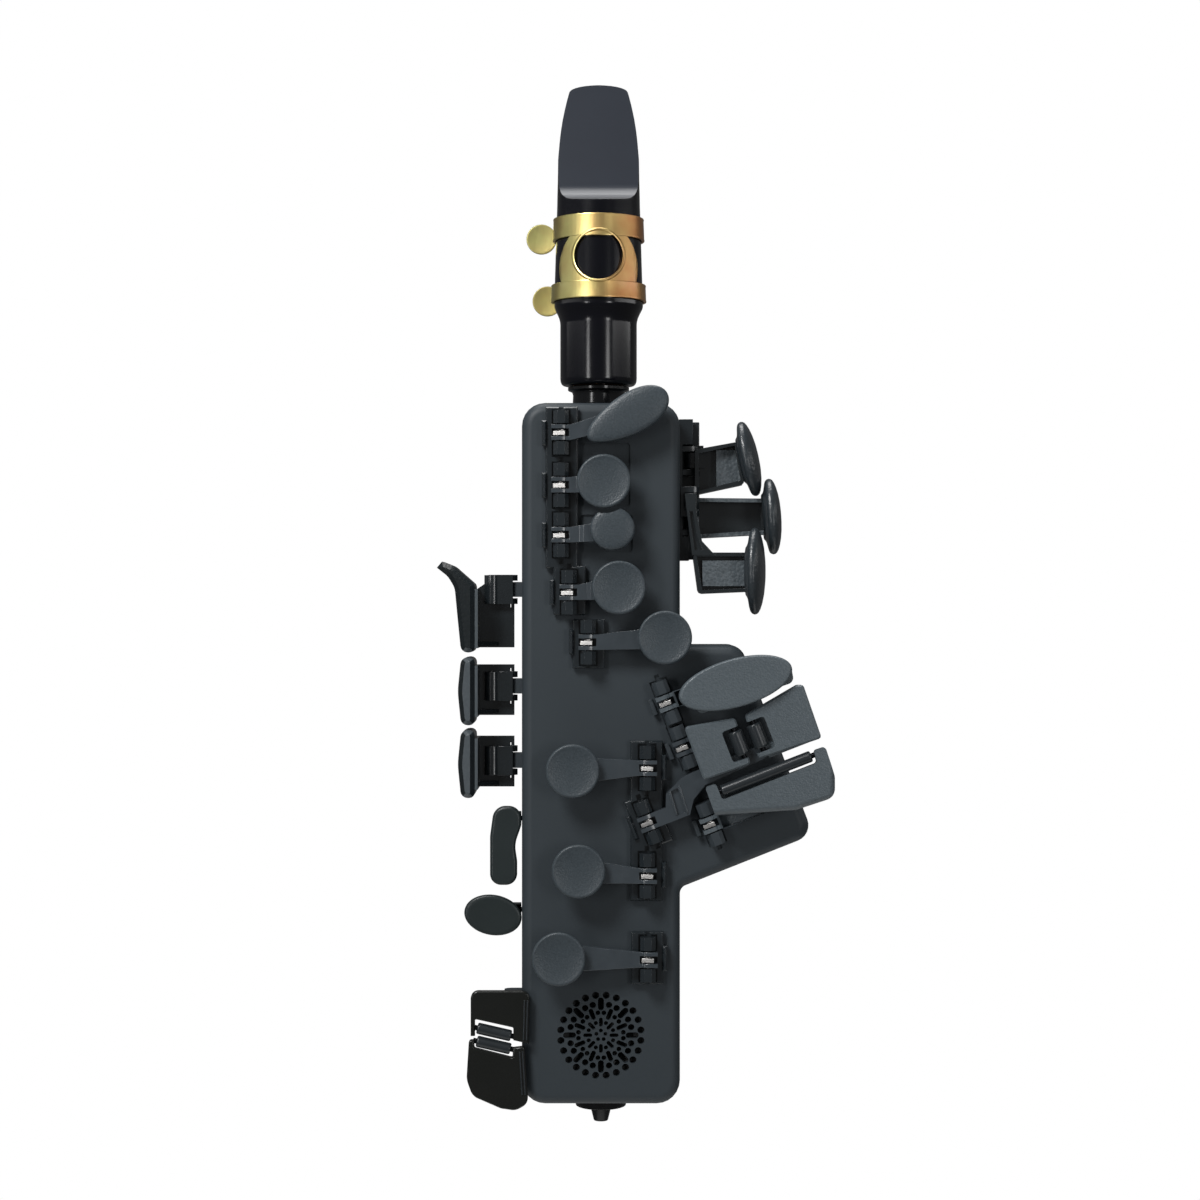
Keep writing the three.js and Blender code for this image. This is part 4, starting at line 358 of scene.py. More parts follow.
def hinge_posts(place):
    """Two square posts with a bevelled crown."""
    posts = []
    for side in (-post_middle, post_middle):
        post = block((-2.3, -2, side - post_half), (2.3, hinge_floor + 0.3, side + post_half))
        crown = [line for line in post.edges if all(v.co.y < 0 for v in line.verts)
                 and abs(line.verts[0].co.x - line.verts[1].co.x) < 1e-6]
        bmesh.ops.bevel(post, geom=crown, offset=1.2 * mm, offset_type="OFFSET", segments=1, profile=0.5,
                        affect="EDGES", material=-1)
        bmesh.ops.bevel(post, geom=list(post.edges), offset=0.18 * mm, offset_type="OFFSET", segments=2,
                        profile=0.5, affect="EDGES", material=-1)
        bmesh.ops.transform(post, matrix=place, verts=post.verts)
        posts.append(post)
    return posts


# A tongue on the front shell stands in the seam, so no light comes through. A stop stands behind each key's tail.
tongue = carve(prism(housing_corners, seam - 1, seam + 0.35, inset=0.7),
               prism(housing_corners, seam - 2, seam + 1, inset=2.1))
furniture = [tongue] + [post for place in shell_hinges for post in hinge_posts(place)]
furniture += [block((-5.1, 2.2, -2.5), (-3.7, 4.9, 2.5), 0.3, place) for place in shell_hinges]
front = together(front, *furniture)
put(front, "front_shell_moulding", satin_paint, "housing", ["front_shell"], hard=32)

rear = carve(prism(body_corners, seam + 0.3, back_face, back_fillet=4.5),
             prism(housing_corners, seam + 0.3, wing_back, back_fillet=2), "UNION")
rear = carve(rear, block(pocket_low, pocket_high, matrix=place_of["octave"]))
screw_spots = [(-18, back_face, 78), (18, back_face, 78), (-18, back_face, -18), (18, back_face, -22),
               (-18, back_face, -110), (18, back_face, -110), (50, wing_back, -38), (38, wing_back, 6)]
for x, depth, z in screw_spots:
    sink = shift(x, depth, z) @ Matrix.Rotation(-math.pi / 2, 4, "X")
    rear = carve(rear, turned([(0, -1.2), (2.4, -1.2), (2.4, 1), (0, 1)], 32, sink))
rear = together(rear, *hinge_posts(place_of["octave"]))
put(rear, "rear_shell_moulding", satin_paint, "housing", ["rear_shell"], hard=32)

# Lugs and pins on the left wall
# Small hinge lugs and stub pins are moulded with the shells, in the same ABS. They carry the side and rocking keys.
def cut_off(shape, point, normal, beyond=True):
    """A bmesh cut by a plane, without what lies beyond the plane along its normal, or without what lies before it."""
    bmesh.ops.bisect_plane(shape, geom=shape.verts[:] + shape.edges[:] + shape.faces[:], dist=1e-7, plane_co=point,
                           plane_no=normal, clear_outer=beyond, clear_inner=not beyond)
    return shape


wall_lugs = [cut_off(merged_copy(shell), ((-half_width - 0.02) * mm, 0, 0), (-1, 0, 0), beyond=False)
             for shell in ("front_shell", "rear_shell")]
put(together(*wall_lugs), "left_wall_lugs", satin_paint, "housing", edge=0.12, hard=40)

# Case screws
# Pan-head steel screws with a cross recess, blackened, sunk in round pockets in the rear shell.
black_steel = moulded("blackened_screw_steel", "1B1C1E", "232427", 0.35, 0.3, 0.004)
black_steel.node_tree.nodes["Principled BSDF"].inputs["Metallic"].default_value = 1.0
screws = []
for x, depth, z in screw_spots:
    stand = shift(x, depth - 1.2, z) @ Matrix.Rotation(-math.pi / 2, 4, "X")
    head = turned([(0, -0.3), (2.1, -0.3), (2.1, 0.3), (1.6, 0.8), (0.8, 1.0), (0, 1.02)], 32, stand)
    for turn in (0, math.pi / 2):
        bit = stand @ Matrix.Rotation(turn + 0.6, 4, "Z")
        head = carve(head, block((-1.1, -0.22, 0.35), (1.1, 0.22, 2), matrix=bit))
    screws.append(head)
put(together(*screws), "case_screws", black_steel, "housing", hard=30)

# Rails and brackets
# Glass-filled nylon mouldings that carry the posts of the open hinges, glued to the front of the housing.
# Semi-gloss charcoal, with crisp chamfers that catch the light.
nylon = moulded("semi_gloss_nylon", "1E2428", "272D31", 0.25, 0.35, 0.006, 9, 0.7)


fork_half, sleeve_reach = 2.68, 1.7


def without_pins(shape, places):
    """Takes the plain pin and spring from between the posts, so that the steel ones can go there."""
    for place in places:
        back = place.inverted()
        gone = []
        for face in shape.faces:
            spot = back @ face.calc_center_median()
            if abs(spot.z) < fork_half * mm and math.hypot(spot.x, spot.y) < sleeve_reach * mm:
                gone.append(face)
        bmesh.ops.delete(shape, geom=gone, context="FACES")
    return shape


carriers = {"left_hand_rail": ["front_f", "b", "bis", "a"], "g_key_bracket": ["g"],
            "right_hand_rail": ["f", "e", "low_b"], "d_key_bracket": ["d"], "palm_key_bracket": []}
for node, names in carriers.items():
    shape = without_pins(merged_copy(node), [place_of[name] for name in names])
    put(shape, node + "_moulding", nylon, "housing", [node], edge=0.16, hard=28)

web = block((23.85, -10.9, 42.5), (30.6, -10.1, 85.2), 0.25)
put(web, "palm_bracket_web", nylon, "housing", hard=40)

# Hinge pins and springs
# A blackened 1.5 mm pin through both posts, and a bright coil of 0.4 mm wire round it in the key's fork.
# One leg of the coil lies flat in the fork and presses on the key.
spring_steel, steel_tree, steel = new_finish("bright_drawn_steel", Metallic=1.0, Roughness=0.36)
steel_place = add_node(steel_tree, "ShaderNodeTexCoord").outputs["Object"]
# Drawing marks are a few hundredths of a millimetre, drawn at 0.2 mm.
steel_marks = add_node(steel_tree, "ShaderNodeTexNoise", Vector=steel_place, Scale=1 / (0.2 * mm))
steel_tone = add_node(steel_tree, "ShaderNodeMixRGB", Fac=steel_marks.outputs["Fac"], Color1=linear("A9A7A4"),
                      Color2=linear("DEDCDA"))
steel_tree.links.new(steel_tone.outputs[0], steel.inputs["Base Color"])

wire_radius, coil_radius, coil_turns, coil_steps, pin_radius, pin_half = 0.2, 1.05, 4, 20, 0.76, 4.4
springs, pins = [], []
for place in place_of.values():
    coil = bmesh.new()
    bmesh.ops.create_circle(coil, segments=6, radius=wire_radius * mm)
    start = shift(coil_radius, 0, -coil_turns * wire_radius) @ Matrix.Rotation(math.pi / 2, 4, "X")
    bmesh.ops.transform(coil, matrix=start, verts=coil.verts)
    bmesh.ops.spin(coil, geom=coil.verts[:] + coil.edges[:], cent=(0, 0, 0), axis=(0, 0, 1),
                   dvec=(0, 0, 2.05 * wire_radius * mm / coil_steps), angle=2 * math.pi * coil_turns,
                   steps=coil_turns * coil_steps)
    bmesh.ops.holes_fill(coil, edges=coil.edges, sides=6)
    bmesh.ops.recalc_face_normals(coil, faces=coil.faces)
    # The leg is drawn as a bright plate that fills the slot of the fork and leans a little to the left.
    side = 1 if place.col[0].x > 0 else -1
    lean = Matrix.Rotation(-math.radians(12) * side, 4, "Z")
    coil = together(coil, block((-2.1, -1.75, -0.65 - 0.2 * side), (1.6, -1.35, 0.65 - 0.2 * side), 0.1, lean))
    bmesh.ops.transform(coil, matrix=place, verts=coil.verts)
    springs.append(coil)
    pins.append(turned([(0, -pin_half), (pin_radius, -pin_half), (pin_radius, pin_half), (0, pin_half)], 24, place))
put(together(*springs), "key_springs", spring_steel, "housing", hard=50)
put(together(*pins), "hinge_pins", black_steel, "housing", hard=50)

# Levers of the two stacks and the octave lever
# Moulded nylon forks that turn on the pins and widen to a seat under each touch. They have more gloss than the rails.
lever_nylon = moulded("glossy_lever_nylon", "343B40", "434A50", 0.24, 0.35, 0.012, 5, 0.8)
for name in stack_names:
    put(merged_copy(name + "_lever"), name + "_lever_moulding", lever_nylon, name + "_key",
        [name + "_lever"], edge=0.38, hard=24)
put(merged_copy("octave_key"), "octave_lever_moulding", lever_nylon, "octave_key", ["octave_key"],
    edge=0.2, hard=24)

# Round touches
# ABS buttons with a grained, slightly dished face and a thin raised rim. The grain is like fine leather, about
# 0.5 mm from one bump to the next.
grained_abs = moulded("leather_grained_abs", "2F363B", "485157", 0.38, 0.5, 0.06, 0.6, 0.45, True)


def touch_place(name):
    """Matrix at the middle of a touch's back, with Z towards the player."""
    low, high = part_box(name + "_cap")
    middle = Vector(((low.x + high.x) / 2, high.y, (low.z + high.z) / 2))
    return Matrix.Translation(middle) @ Matrix.Rotation(math.pi / 2, 4, "X")


button = [(0, 0), (7.2, 0), (7.45, 0.2), (7.95, 2.2), (8, 2.5), (7.9, 2.85), (7.65, 3.12), (7.35, 3.2), (7.05, 3.12),
          (6.6, 2.96), (5.2, 2.7), (3, 2.47), (0, 2.4)]
for name in ("b", "a", "g", "f", "e", "d"):
    put(turned(button, 96, touch_place(name)), name + "_touch", grained_abs, name + "_key",
        [name + "_cap"], hard=60)

# Pebble touches
# The front F touch is a long pebble set aslant, and the bis touch a small one scooped out beside the B touch.
def pebble(centre, half_length, half_width, height, skew, tilt, flatness=0.42):
    """A rounded pebble with a flat back. Flatness below one pushes its crown out to the rim."""
    shape = bmesh.new()
    bmesh.ops.create_uvsphere(shape, u_segments=64, v_segments=32, radius=1)
    for point in shape.verts:
        along, aside, up = point.co
        spread = math.hypot(along, aside)
        crown = math.copysign(abs(up) ** flatness, up)
        wide = spread ** 0.8 / spread if spread > 1e-6 else 1
        along, aside = along * wide, aside * wide
        point.co = Vector((along * half_length, aside * half_width * (1 + skew * along), crown * height)) * mm
    cut_off(shape, (0, 0, -0.35 * height * mm), (0, 0, -1))
    bmesh.ops.holes_fill(shape, edges=shape.edges, sides=0)
    bmesh.ops.recalc_face_normals(shape, faces=shape.faces)
    place = Matrix.Translation(Vector(centre) * mm) @ Matrix.Rotation(-math.radians(tilt), 4, "Y")
    bmesh.ops.transform(shape, matrix=place @ Matrix.Rotation(math.pi / 2, 4, "X"), verts=shape.verts)
    return shape


put(pebble((7.88, -43.35, 84.7), 13.6, 6.05, 2.35, 0.2, 29.7), "front_f_touch", grained_abs, "front_f_key",
    ["front_f_cap"], hard=50)
scoop = turned([(0, -6), (9.5, -6), (9.5, 9), (0, 9)], 96, touch_place("b"))
bis = carve(pebble((3.43, -43.35, 51.15), 6.65, 6.4, 2.35, 0, 0, 0.3), scoop)
put(bis, "bis_touch", grained_abs, "bis_key", ["bis_cap"], edge=0.35, hard=40)

# Little-finger table
# Four plates on long forked levers: an oval for G sharp, and flat plates with rollers between them. They are ABS with
# a fine leather grain, 0.6 mm from bump to bump, and the lightest grey on the instrument.
table_abs = moulded("fine_grained_abs", "4B5459", "5F686E", 0.36, 0.6, 0.08, 0.8, 0.5, True)


def levers_only(name, depth):
    """The part of a key's CAD solid behind its touch: what lies deeper than a plane, in its hinge's frame."""
    place = place_of[name]
    return cut_off(merged_copy(name + "_key"), place @ Vector((0, depth * mm, 0)), place.col[1].xyz, beyond=False)


def oval_touch(half_length, half_width, height, place):
    """A flat oval button with rounded rims, its back at the place and its face towards the player."""
    rim = [(0, 0), (0.93, 0), (0.975, 0.2), (1, 0.9), (1, height - 1), (0.988, height - 0.45), (0.965, height - 0.14),
           (0.93, height), (0.8, height - 0.03), (0.5, height - 0.12), (0, height - 0.15)]
    spread = Matrix.Diagonal((half_length, half_width, 1, 1))
    return turned(rim, 128, place @ Matrix.Rotation(math.pi / 2, 4, "X") @ spread)


# Places on the table are in the frame of a key's hinge: across from its pin, and along it.
lever_front, table_back, table_front = -4.8, -4.6, -7.6
base = prism([(6.8, -6.4, 1.9), (37.05, -7.76, 1.9), (38.2, -2.1, 1.9), (9.55, 2.57, 1.9)], table_front, table_back,
             front_fillet=0.5)
bmesh.ops.transform(base, matrix=place_of["g_sharp"], verts=base.verts)
oval_place = place_of["g_sharp"] @ shift(20.79, -6.6, -1.6)
oval = oval_touch(17.2, 7.1, 3.8, oval_place @ Matrix.Rotation(math.radians(5.5), 4, "Y"))
put(together(levers_only("g_sharp", lever_front), base, oval), "g_sharp_moulding", table_abs, "g_sharp_key",
    ["g_sharp_key"], edge=0.12, hard=50)

for name in ("c_sharp", "low_b"):
    shape = merged_copy(name + "_key")
    if name == "low_b":
        # The link is cored out between two ribs.
        core = [(20.7, -26.9, 0.3), (22.8, -25.9, 0.3), (25.4, -32.9, 0.3), (22.9, -34.1, 0.3)]
        shape = carve(shape, prism(core, -43, -40.7))
        ribs = []
        for x, z, length in ((20.3, -26.7, 7.6), (23.2, -25.1, 8.6)):
            along = shift(x, 0, z) @ Matrix.Rotation(-math.radians(17), 4, "Y")
            ribs.append(block((-0.3, -42.05, -length), (0.3, -41.5, 0), 0.12, along))
        shape = together(shape, *ribs)
    for face in shape.faces:
        depth = (place_of[name].inverted() @ face.calc_center_median()).y
        face.material_index = 0 if depth < (table_back - 0.1) * mm else 1
    put(shape, name + "_moulding", [table_abs, lever_nylon], name + "_key", [name + "_key"],
        edge=0.22, hard=34)

# The low B flat plate has a broad round along its lower edge, cut by blocks that lean a little more each time.
flat_corners = [(2.11, 2.38, 0.9), (24.96, -4.76, 3), (37.05, -5.42, 3.9), (39.2, 0.12, 3.9), (39.7, 9.63, 0.9),
                (36.08, 9.79, 0.9), (35.7, 6.08, 0.9), (5.69, 6.08, 0.9), (5.69, 11.23, 0.9), (2.34, 11.23, 0.9)]
plate = prism(flat_corners, table_front, table_back)
broad = 2.1
for (x, z, _), (next_x, next_z, _) in zip(flat_corners[:4], flat_corners[1:4]):
    run = math.hypot(next_x - x, next_z - z)
    rim = shift(x, table_front + broad, z) @ Matrix.Rotation(
        -math.atan2(next_z - z, next_x - x), 4, "Y") @ shift(0, 0, broad)
    for tip in range(10, 90, 14):
        plate = carve(plate, block((-3, -5, -broad - 3), (run + 3, 5, -broad),
                                   matrix=rim @ Matrix.Rotation(-math.radians(tip), 4, "X")))
bmesh.ops.transform(plate, matrix=place_of["low_b_flat"], verts=plate.verts)
put(together(levers_only("low_b_flat", lever_front), plate), "low_b_flat_moulding", table_abs, "low_b_flat_key",
    ["low_b_flat_key"], edge=0.35, hard=40)

# Rollers
# Acetal tubes with rounded ends that turn on blackened steel pins, so that a finger can slide from plate to plate.
acetal = moulded("turned_acetal", "22272A", "2C3135", 0.3, 0.3, 0.006)
roller_lengths = {"c_sharp": 7.35, "low_b": 7.35, "low_b_flat": 28.39, "low_e_flat": 10.41, "low_c": 10.41}
for name, length in roller_lengths.items():
    wide = 0.5 if length < 8 else 0
    joint = next(j for j in frame["joints"] if j["name"] == name + "_roller_turn")
    aim = Vector(joint["axis"]).to_track_quat("Z", "Y").to_matrix().to_4x4()
    place = Matrix.Translation(joint["pos_m"]) @ aim
    half = length / 2
    tube = [(1.0, -half), (1.3 + wide, -half), (1.55 + wide, 0.1 - half), (1.68 + wide, 0.35 - half),
            (1.7 + wide, 0.7 - half), (1.7 + wide, half - 0.7), (1.68 + wide, half - 0.35),
            (1.55 + wide, half - 0.1), (1.3 + wide, half), (1.0, half)]
    put(turned(tube, 48, place, ring=True), name + "_roller_tube", acetal, name + "_roller",
        [name + "_roller"], hard=60)
    put(turned([(0, -half - 1.1), (0.8, -half - 1.1), (0.8, half + 1.1), (0, half + 1.1)], 24, place),
        name + "_roller_pin", black_steel, name + "_key", hard=50)

# Palm keys
# Three arms swing on pins at the housing's right edge. Each is a moulded channel of glossy black nylon. Two have a
# raised panel inside with a coarse grain, and all end in a lens-shaped pad, seen edge-on from the front.
arm_nylon = moulded("gloss_black_arm_nylon", "1A1F22", "252B2E", 0.22, 0.35, 0.008, 6, 0.9)
panel_abs = moulded("coarse_grained_panel", "3C4347", "656E74", 0.4, 1.0, 0.2, 0.8, 0.5, True)
pad_abs = moulded("palm_pad_abs", "22282C", "363D42", 0.3, 0.8, 0.07, 0.8, 0.7, True)
lens = [(0, -2.7), (0.56, -2.7), (0.6, -2.35), (0.68, -1.95), (0.78, -1.68), (0.88, -1.45), (0.94, -1.2),
        (0.98, -0.75), (1, -0.1), (0.99, 0.5), (0.96, 1.0), (0.89, 1.5), (0.77, 2.02), (0.6, 2.5), (0.4, 2.84),
        (0.2, 3.0), (0, 3.05)]
palm_pads = {"palm_d": ((45.17, -22.1, 73.13), 11.6, 12, 9), "palm_e_flat": ((52.08, -22.1, 55.51), 11.6, 4, 2),
             "palm_f": ((46.54, -30.66, 38.7), 13.12, 0, 10)}
pad_foot, pad_depth_share = 1.9, 0.74
for name, (centre, radius, lean, turn) in palm_pads.items():
    place = Matrix.Translation(Vector(centre) * mm) @ Matrix.Rotation(-math.radians(lean), 4, "Y")
    place = place @ Matrix.Rotation(-math.radians(turn), 4, "Z") @ Matrix.Diagonal((1, pad_depth_share, 1, 1))
    outward = (place.to_3x3() @ Vector((1, 0, 0))).normalized()
    arm = cut_off(merged_copy(name + "_key"), Vector(centre) * mm - outward * pad_foot * mm, outward)
    for face in arm.faces:
        raised = -31.5 * mm < face.calc_center_median().y < -18.5 * mm
        if raised and face.normal.y < -0.9 and face.calc_area() > 60 * mm * mm:
            face.material_index = 1
    put(arm, name + "_arm", [arm_nylon, panel_abs], name + "_key", [name + "_key"], edge=0.18,
        hard=40)
    pad = turned([(r * radius, h) for r, h in lens], 72, place @ Matrix.Rotation(math.pi / 2, 4, "Y"))
    put(pad, name + "_pad", pad_abs, name + "_key", hard=60)

# Side keys
# Three keys at the left edge. A dark lens is glued in a grey flange, which stands on a short arm of glossy black nylon
# with a gusset. The upper one ends in a horn. The front rim of each arm carries the flange's grey as a painted
# highlight.
lens_abs = moulded("side_lens_abs", "13181A", "1D2427", 0.34, 0.8, 0.05, 0.8, 0.45, True)
flange_abs = moulded("side_flange_abs", "42494E", "555D62", 0.35, 0.6, 0.08, 0.8, 0.6)
lens_foot, flange_foot, painted_highlight_front = -41.3, -39.3, -28
for name in ("side_e", "side_c", "side_b_flat"):
    shape = merged_copy(name + "_key")
    for face in shape.faces:
        spot = face.calc_center_median() / mm
        # Arm faces that face the player, in front of this depth, get the flange's grey: a painted highlight along the
        # arm's front rim.
        rim = face.normal.y < -0.9 and spot.y < painted_highlight_front and spot.x > flange_foot
        face.material_index = 1 if spot.x < lens_foot else 2 if spot.x < flange_foot or rim else 0
    pin_height = joint_of[name]["pos_m"][2] / mm
    gusset = turned([(0, -4.4), (2.5, -4.4), (2.5, 4.4), (0, 4.4)], 48, shift(-33.4, -16.5, pin_height))
    put(together(shape, gusset), name + "_moulding", [arm_nylon, lens_abs, flange_abs], name + "_key",
        [name + "_key"], edge=0.15, hard=35)

# Rocking keys and low plates
# A kidney and an oval touch rock on stub pins in the left wall. Below them, two plates for low E flat and low C
# meet at a pair of rollers. The touches are satin ABS, near-black with a hint of green.
rocker_abs = moulded("satin_rocker_abs", "1E2627", "283031", 0.36, 0.5, 0.02)


def stem_only(node, depth):
    """The part of a key's CAD solid that lies deeper than a depth."""
    return cut_off(merged_copy(node), (0, depth * mm, 0), (0, 1, 0), beyond=False)


pad_front, pad_back = -34.1, -31.1
kidney_middle, half_across, half_along = (-28.9, -43.91), 4.7, 11.85
kidney_shares = [(-0.69, 1, 0.8), (1.04, 1, 0.8), (1.04, 0.5, 0.6), (0.62, 0.02, 1.6), (0.78, -0.4, 1.2),
                 (0.78, -1, 0.7), (-0.95, -1, 0.7), (-0.95, 0.25, 2)]
kidney = prism([(kidney_middle[0] + out * half_across, kidney_middle[1] + up * half_along, bend * half_across)
                for out, up, bend in kidney_shares], pad_front, pad_back, front_fillet=1, back_fillet=0.7, steps=8)
put(together(kidney, stem_only("high_f_sharp_key", pad_back)), "high_f_sharp_moulding", rocker_abs,
    "high_f_sharp_key", ["high_f_sharp_key"], hard=50)
trill_place = shift(-32.5, pad_back, -64.88) @ Matrix.Rotation(math.radians(10), 4, "Y")
put(together(oval_touch(8.7, 6, 3, trill_place), stem_only("trill_key", pad_back)), "trill_moulding", rocker_abs,
    "trill_key", ["trill_key"], hard=50)

# The low plates are glossy brown-black ABS. Their outlines are shares of their width, out from their right edge, and
# of the housing's length, down from its top.
glossy_abs = moulded("glossy_brown_black_abs", "151715", "1D1E1C", 0.24, 0.8, 0.012)
low_front, low_back, low_width, low_right = -39.2, -36.4, 17.7, -21.2
low_outlines = {
    "low_e_flat": [(0, 0.835, 2.2), (1, 0.835, 2.2), (1, 0.8985, 0), (0.93, 0.8985, 0), (0.93, 0.8745, 0.5),
                   (0.28, 0.8865, 0.5), (0.28, 0.9045, 0), (0.02, 0.9095, 0)],
    "low_c": [(0.09, 0.9135, 0.6), (0.29, 0.9155, 0), (0.29, 0.9295, 0.5), (0.94, 0.9155, 0.5), (0.94, 0.9045, 0),
              (1.03, 0.9045, 0.8), (1.07, 0.96, 6), (0.97, 0.9835, 3.6), (0.49, 1.001, 4), (0.24, 1.004, 3.4),
              (0.03, 0.994, 2.6)]}
for name, outline in low_outlines.items():
    corners = [(low_right - out * low_width, body_top - drop * body_length, radius) for out, drop, radius in outline]
    plate = prism(corners, low_front, low_back, front_fillet=0.45, back_fillet=0.4, steps=5)
    # Two fine ridges run down the edge beside the housing.
    (top_x, top_z), (foot_x, foot_z) = ((-21.2, -89.4), (-21.5, -101.4)) if name == "low_e_flat" else \
        ((-22.7, -104.6), (-21.9, -117.6))
    lean = math.atan2(top_x - foot_x, top_z - foot_z)
    ridge = shift(foot_x, low_front, foot_z) @ Matrix.Rotation(lean, 4, "Y")
    ridges = [block((inward - 0.22, -0.38, 0), (inward + 0.22, 0.3, top_z - foot_z), 0.15, ridge)
              for inward in (-0.7, -1.6)]
    put(together(plate, stem_only(name + "_key", low_back)), name + "_moulding", glossy_abs, name + "_key",
        [name + "_key"], hard=40)
    put(together(*ridges), name + "_grip_ridges", acetal, name + "_key", hard=40)

# Neck and cork
# A glossy black plastic neck with a collar, plugged into the top of the housing. Natural cork round the tenon
# grips the mouthpiece: warm brown, with dark pores.
gloss_abs = moulded("gloss_abs", "0C0D0F", "121315", 0.16, 2.0, 0.004)
neck_place = shift(-0.714, middle_depth, 0)
neck = [(3.4, 81.38), (5, 81.38), (5, 89.68), (7.7, 89.68), (7.9, 89.98), (7.8, 92.6), (8.1, 93.5), (9.1, 93.88),
        (9.35, 94.1), (9.35, 94.85), (9.1, 95.08), (6.8, 95.08), (6.8, 117.08), (3.4, 117.08)]
put(turned(neck, 72, neck_place, ring=True), "neck", gloss_abs, "housing", ["neck_tube"], hard=40)
natural_cork, cork_tree, cork_shader = new_finish("natural_cork", Roughness=0.9)
cork_place = add_node(cork_tree, "ShaderNodeTexCoord").outputs["Object"]
# Cork's cells clump about every millimetre.
cork_cells = add_node(cork_tree, "ShaderNodeTexVoronoi", Vector=cork_place, Scale=1 / (1.1 * mm))
cork_cells = cork_cells.outputs["Distance"]
tone_and_bump(cork_tree, cork_shader, cork_cells, ("B98B58", "7A5430"), cork_cells, 0.6, 0.1)
put(turned([(7.1, 95.4), (8.0, 95.4), (8.0, 117.0), (7.1, 117.0)], 72, neck_place, ring=True), "neck_cork_sleeve",
    natural_cork, "housing", ["neck_cork"], hard=40)

# Mouthpiece
# Turned and milled ebonite: a polished barrel and shank, and a fine-sanded beak face that ends in a hollowed ledge.
ebonite = moulded("polished_ebonite", "06070D", "0A0B12", 0.17, 3.0, 0.004, 20)
sanded_ebonite = moulded("fine_sanded_ebonite", "22262E", "292E37", 0.3, 0.4, 0.006, 20)
mouth_bottom, collar_top, beak_foot, mouth_tip = 95.38, 119.8, 150.7, 189.37
collar_radius, beak_radius, barrel_taper = 13.6, 12.65, 0.95
# Half width of the beak at each height, as seen from the front.
beak_side = [(12.64, 151.5), (12.6, 153.6), (12.48, 158), (12.38, 164.5), (12.13, 167.8), (11.87, 171.1),
             (11.52, 174.4), (11.05, 177.7), (10.42, 181.1), (9.95, 183.3), (9.55, 185), (9.25, 186.2), (9.02, 187),
             (8.7, 187.5), (8.1, 187.95), (7.1, 188.4), (5.7, 188.8), (4, 189.1), (2.2, 189.28), (0.6, mouth_tip)]
shank = [(0, mouth_bottom), (9.9, mouth_bottom), (10.8, 95.55), (11.3, 95.95), (11.58, 96.6), (11.7, 97.5),
         (11.7, 114.2), (11.78, 115.0), (12.05, 116.1), (12.5, 117.2), (13.05, 118.25), (13.42, 119.0),
         (collar_radius, collar_top), (beak_radius, beak_foot)]
horn = turned(shank + [(beak_radius, z) for _, z in beak_side] + [(0, mouth_tip)], 128)
face_foot, face_tip = Vector((-4.6, 153.9)), Vector((8.5, 189.7))
for point in horn.verts:
    for half, z in beak_side:
        if abs(point.co.z - z * mm) < 1e-7 and abs(point.co.x) > 1e-7:
            # The side is drawn in smoothly, most where the sloped face meets it.
            slope_y = face_foot.x + (face_tip.x - face_foot.x) * (z - face_foot.y) / (face_tip.y - face_foot.y)
            free = math.sqrt(beak_radius ** 2 - max(slope_y, 0) ** 2)
            limit = free / ((free / half) ** 8 - 1) ** 0.125
            point.co.x /= (1 + (abs(point.co.x) / (limit * mm)) ** 8) ** 0.125
# The face is a long flat slope with a rounded hollow at its foot.
slope = prism([(-30, 147, 0), (-8.8, 151.3, 5), (*face_foot, 8), (*face_tip, 0), (8.5, 192, 0), (-30, 192, 0)],
              -20, 20)
bmesh.ops.transform(slope, matrix=Matrix.Rotation(math.pi / 2, 4, "Z"), verts=slope.verts)
horn = carve(horn, slope)
# The table for the reed is flat, and the bore and the window open behind it.
horn = carve(horn, block((-20, 10.4, 120.38), (20, 20, 192)))
horn = carve(horn, turned([(0, 90), (8.3, 90), (8.3, 119), (6.2, 119.5), (6.2, 147), (0, 147)], 64))
window = block((-4.6, 2.3, 154.8), (4.6, 12, 185.9))
for point in window.verts:
    if point.co.z > 170 * mm and point.co.y < 5 * mm:
        point.co.y = 9.3 * mm
horn = carve(horn, window)
for face in horn.faces:
    spot = face.calc_center_median()
    sloped = face.normal.y < -0.5 and face.normal.z > 0.2
    face.material_index = 1 if sloped and spot.z > 152 * mm else 0
bmesh.ops.transform(horn, matrix=neck_place, verts=horn.verts)
put(horn, "mouthpiece_body", [ebonite, sanded_ebonite], "mouthpiece", ["mouthpiece"], hard=38)

# Reed
# Split cane, straw-coloured with long fibres, shaved thin towards the tip. It lies on the back of the mouthpiece.
cane, cane_tree, cane_shader = new_finish("split_cane", Roughness=0.6)
cane_place = add_node(cane_tree, "ShaderNodeTexCoord").outputs["Object"]
# Fibres are 0.35 mm apart and run the reed's whole length.
cane_run = add_node(cane_tree, "ShaderNodeMapping", Vector=cane_place, Scale=(1, 1, 0.02))
cane_fibre = add_node(cane_tree, "ShaderNodeTexNoise", Vector=cane_run.outputs[0], Scale=1 / (0.35 * mm), Detail=3.0)
cane_fibre = cane_fibre.outputs["Fac"]
tone_and_bump(cane_tree, cane_shader, cane_fibre, ("B8954F", "E6D29A"), cane_fibre, 0.5, 0.05)
put(merged_copy("reed"), "cane_reed", cane, "mouthpiece", ["reed"], edge=0.1, hard=40)

# Ligature
# Sheet brass, rolled and soldered, with clear lacquer: two bands, and between them an oval panel with a raised hole.
# Warm gold that shifts between lemon and copper in clouds, with a painted copper reflection towards the right, and fine
# rubbing marks.
brass, brass_tree, brass_shader = new_finish("lacquered_brass", Metallic=1.0, Roughness=0.34, Coat_Weight=0.4,
                                             Coat_Roughness=0.12)
brass_place = add_node(brass_tree, "ShaderNodeTexCoord").outputs["Object"]
